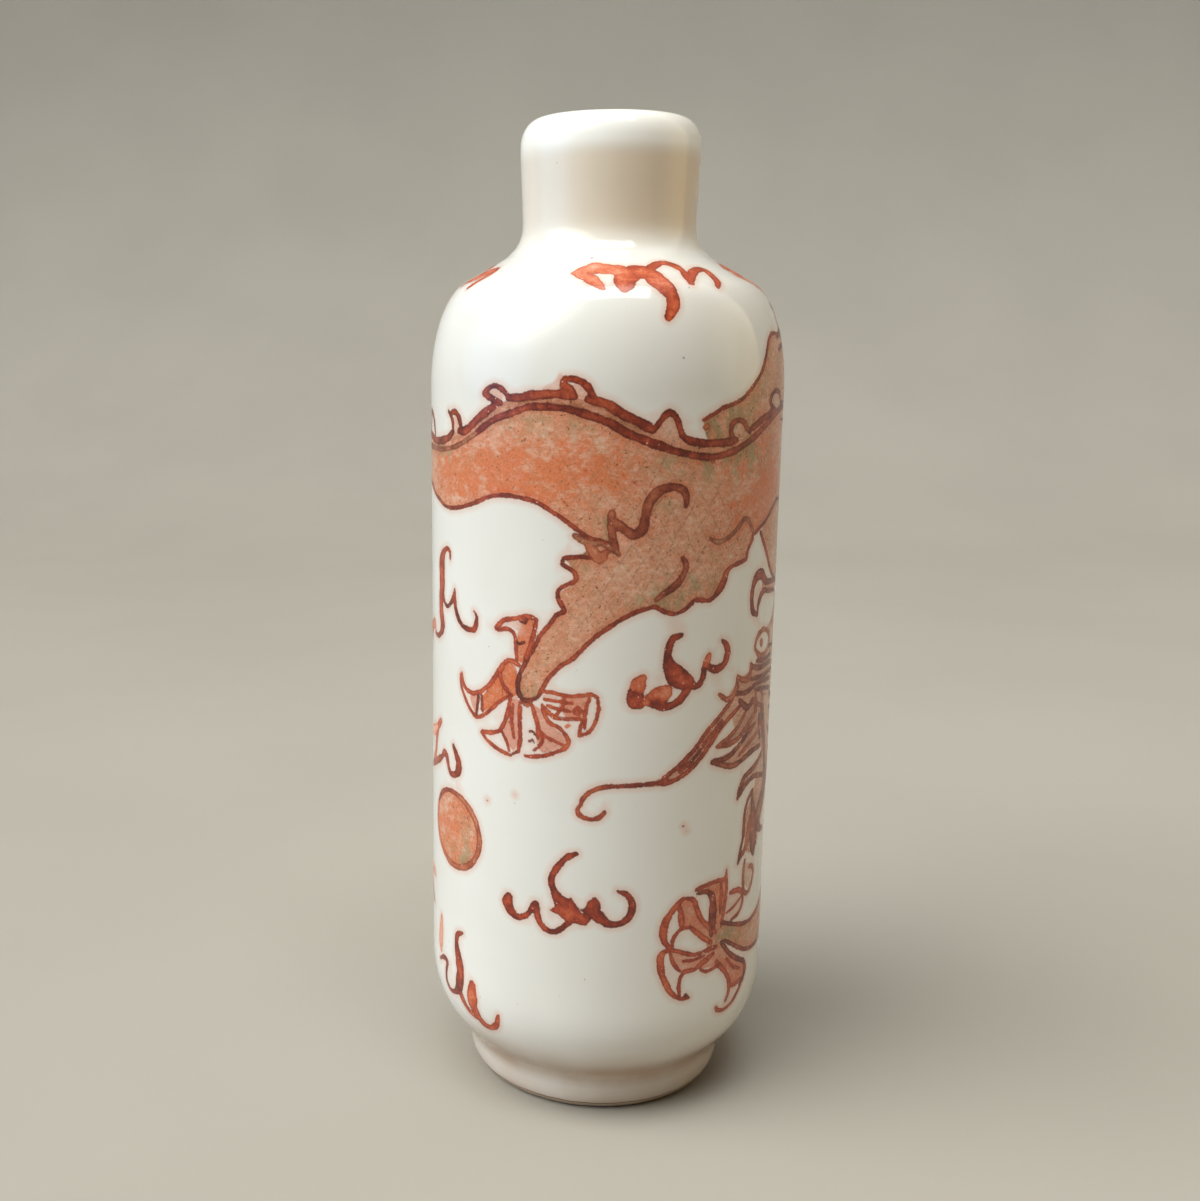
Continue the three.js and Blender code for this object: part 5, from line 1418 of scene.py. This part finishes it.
def makeSweep():
    radius = studio["curveRadius"]
    steps = studio["curveSteps"]
    line = [(studio["floorFront"], 0), (studio["floorBack"], 0)]
    for step in range(1, steps + 1):
        angle = math.radians(90 * step / steps)
        line.append((studio["floorBack"] + radius * math.sin(angle), radius * (1 - math.cos(angle))))
    line.append((studio["floorBack"] + radius, studio["backdropTop"]))
    half = studio["halfWidth"]
    points = [(side * half * mm, y * mm, z * mm) for y, z in line for side in (-1, 1)]
    faces = [(2 * k, 2 * k + 1, 2 * k + 3, 2 * k + 2) for k in range(len(line) - 1)]
    data = bpy.data.meshes.new("floor")
    data.from_pydata(points, [], faces)
    data.polygons.foreach_set("use_smooth", np.ones(len(faces), bool))
    material = bpy.data.materials.new("paleFloor")
    material.use_nodes = True
    tree = material.node_tree
    shader = tree.nodes["Principled BSDF"]
    here = tree.nodes.new("ShaderNodeTexCoord").outputs["Object"]
    mottled = fade(tree, grain(tree, here, studio["mottleSize"], 3), 0.3, 0.7, 0.0, studio["mottle"])
    tree.links.new(blendColour(tree, mottled, studio["colour"], (0, 0, 0)), shader.inputs["Base Color"])
    shader.inputs["Roughness"].default_value = studio["roughness"]
    data.materials.append(material)
    sweep = bpy.data.objects.new("floor", data)
    bpy.context.scene.collection.objects.link(sweep)


# the camera looks slightly down on the bottle, which stands a little right of its axis
camera = {
    "eye": (0.0, -110.885, 62.922),
    "pitchDegrees": -11.66,
    "yawDegrees": 5.09,
    "rollDegrees": 0.13,
    "focalPixels": 1364.05,
    "middlePixelX": 482.37,
    "imageWidth": 1200,
    "imageHeight": 1201,
    "sensorWidth": 36.0,
}


def makeCamera():
    data = bpy.data.cameras.new("camera")
    data.sensor_width = camera["sensorWidth"]
    data.lens = camera["focalPixels"] * camera["sensorWidth"] / camera["imageHeight"]
    data.shift_x = (camera["imageWidth"] / 2 - camera["middlePixelX"]) / camera["imageHeight"]
    data.clip_start = 0.005
    turn = (Matrix.Rotation(math.radians(camera["yawDegrees"]), 4, "Z")
            @ Matrix.Rotation(math.radians(90 + camera["pitchDegrees"]), 4, "X")
            @ Matrix.Rotation(math.radians(camera["rollDegrees"]), 4, "Z"))
    place = bpy.data.objects.new("camera", data)
    place.matrix_world = Matrix.Translation(Vector(camera["eye"]) * mm) @ turn
    bpy.context.scene.collection.objects.link(place)
    bpy.context.scene.camera = place


# soft daylight from a window on the upper left, pale sky below it, and weaker light right and behind.
# round and up are degrees from the camera's side and from the floor, reach the degrees it fades over
room = {
    "fill": (0.02, 0.02, 0.02),
    "backdrop": (0.42, 0.4, 0.35),  # what the camera sees beyond the floor
    "glows": {
        "window": {"round": -65, "up": 45, "reach": (6, 34), "colour": (6.2, 6.1, 5.5)},
        "lowSky": {"round": -75, "up": 12, "reach": (6, 34), "colour": (0.4, 0.95, 1.7)},
        "warmSide": {"round": 100, "up": 12, "reach": (6, 34), "colour": (1.15, 0.86, 0.4)},
        "backRight": {"round": 145, "up": 40, "reach": (8, 45), "colour": (1.1, 1.1, 1.1)},
    },
}
# lamps inside the room, size and distance in millimetres, power in watts
lamps = {
    "ceiling": {"round": 10, "up": 74, "distance": 420, "size": (240, 160), "power": 0.95,
                "colour": (0.98, 1.0, 0.98)},
    "roofPane": {"round": -130, "up": 70, "distance": 320, "size": (110, 45), "power": 0.04,
                 "colour": (1.0, 1.0, 1.0)},
}
lampAimHeight = 40


def away(around, up):
    # the direction so many degrees round from the camera's side and up from the floor
    around, up = math.radians(around), math.radians(up)
    return Vector((math.sin(around) * math.cos(up), -math.cos(around) * math.cos(up), math.sin(up)))


def makeLamps():
    aim = Vector((0, 0, lampAimHeight))
    for name, lamp in lamps.items():
        data = bpy.data.lights.new(name, "AREA")
        data.shape = "RECTANGLE"
        data.size, data.size_y = lamp["size"][0] * mm, lamp["size"][1] * mm
        data.energy = lamp["power"]
        data.color = lamp["colour"]
        place = aim + away(lamp["round"], lamp["up"]) * lamp["distance"]
        holder = bpy.data.objects.new(name, data)
        turn = (aim - place).to_track_quat("-Z", "Y").to_matrix().to_4x4()
        holder.matrix_world = Matrix.Translation(place * mm) @ turn
        holder.visible_camera = False
        bpy.context.scene.collection.objects.link(holder)


def makeRoom():
    world = bpy.data.worlds.new("room")
    bpy.context.scene.world = world
    world.use_nodes = True
    tree = world.node_tree
    direction = tree.nodes.new("ShaderNodeTexCoord").outputs["Generated"]
    light = room["fill"]
    for glow in room["glows"].values():
        facing = tree.nodes.new("ShaderNodeVectorMath")
        facing.operation = "DOT_PRODUCT"
        tree.links.new(direction, facing.inputs[0])
        facing.inputs[1].default_value = away(glow["round"], glow["up"])
        near, far = (math.cos(math.radians(angle)) for angle in glow["reach"])
        strength = fade(tree, facing.outputs["Value"], far, near)
        light = blendColour(tree, strength, light, glow["colour"], "ADD")
    cameraSees = tree.nodes.new("ShaderNodeLightPath").outputs["Is Camera Ray"]
    light = blendColour(tree, cameraSees, light, room["backdrop"])
    tree.links.new(light, tree.nodes["Background"].inputs["Color"])


makeSweep()
makeCamera()
makeLamps()
makeRoom()
bpy.context.scene.view_settings.view_transform = "Standard"
print("floor, camera and lights set")
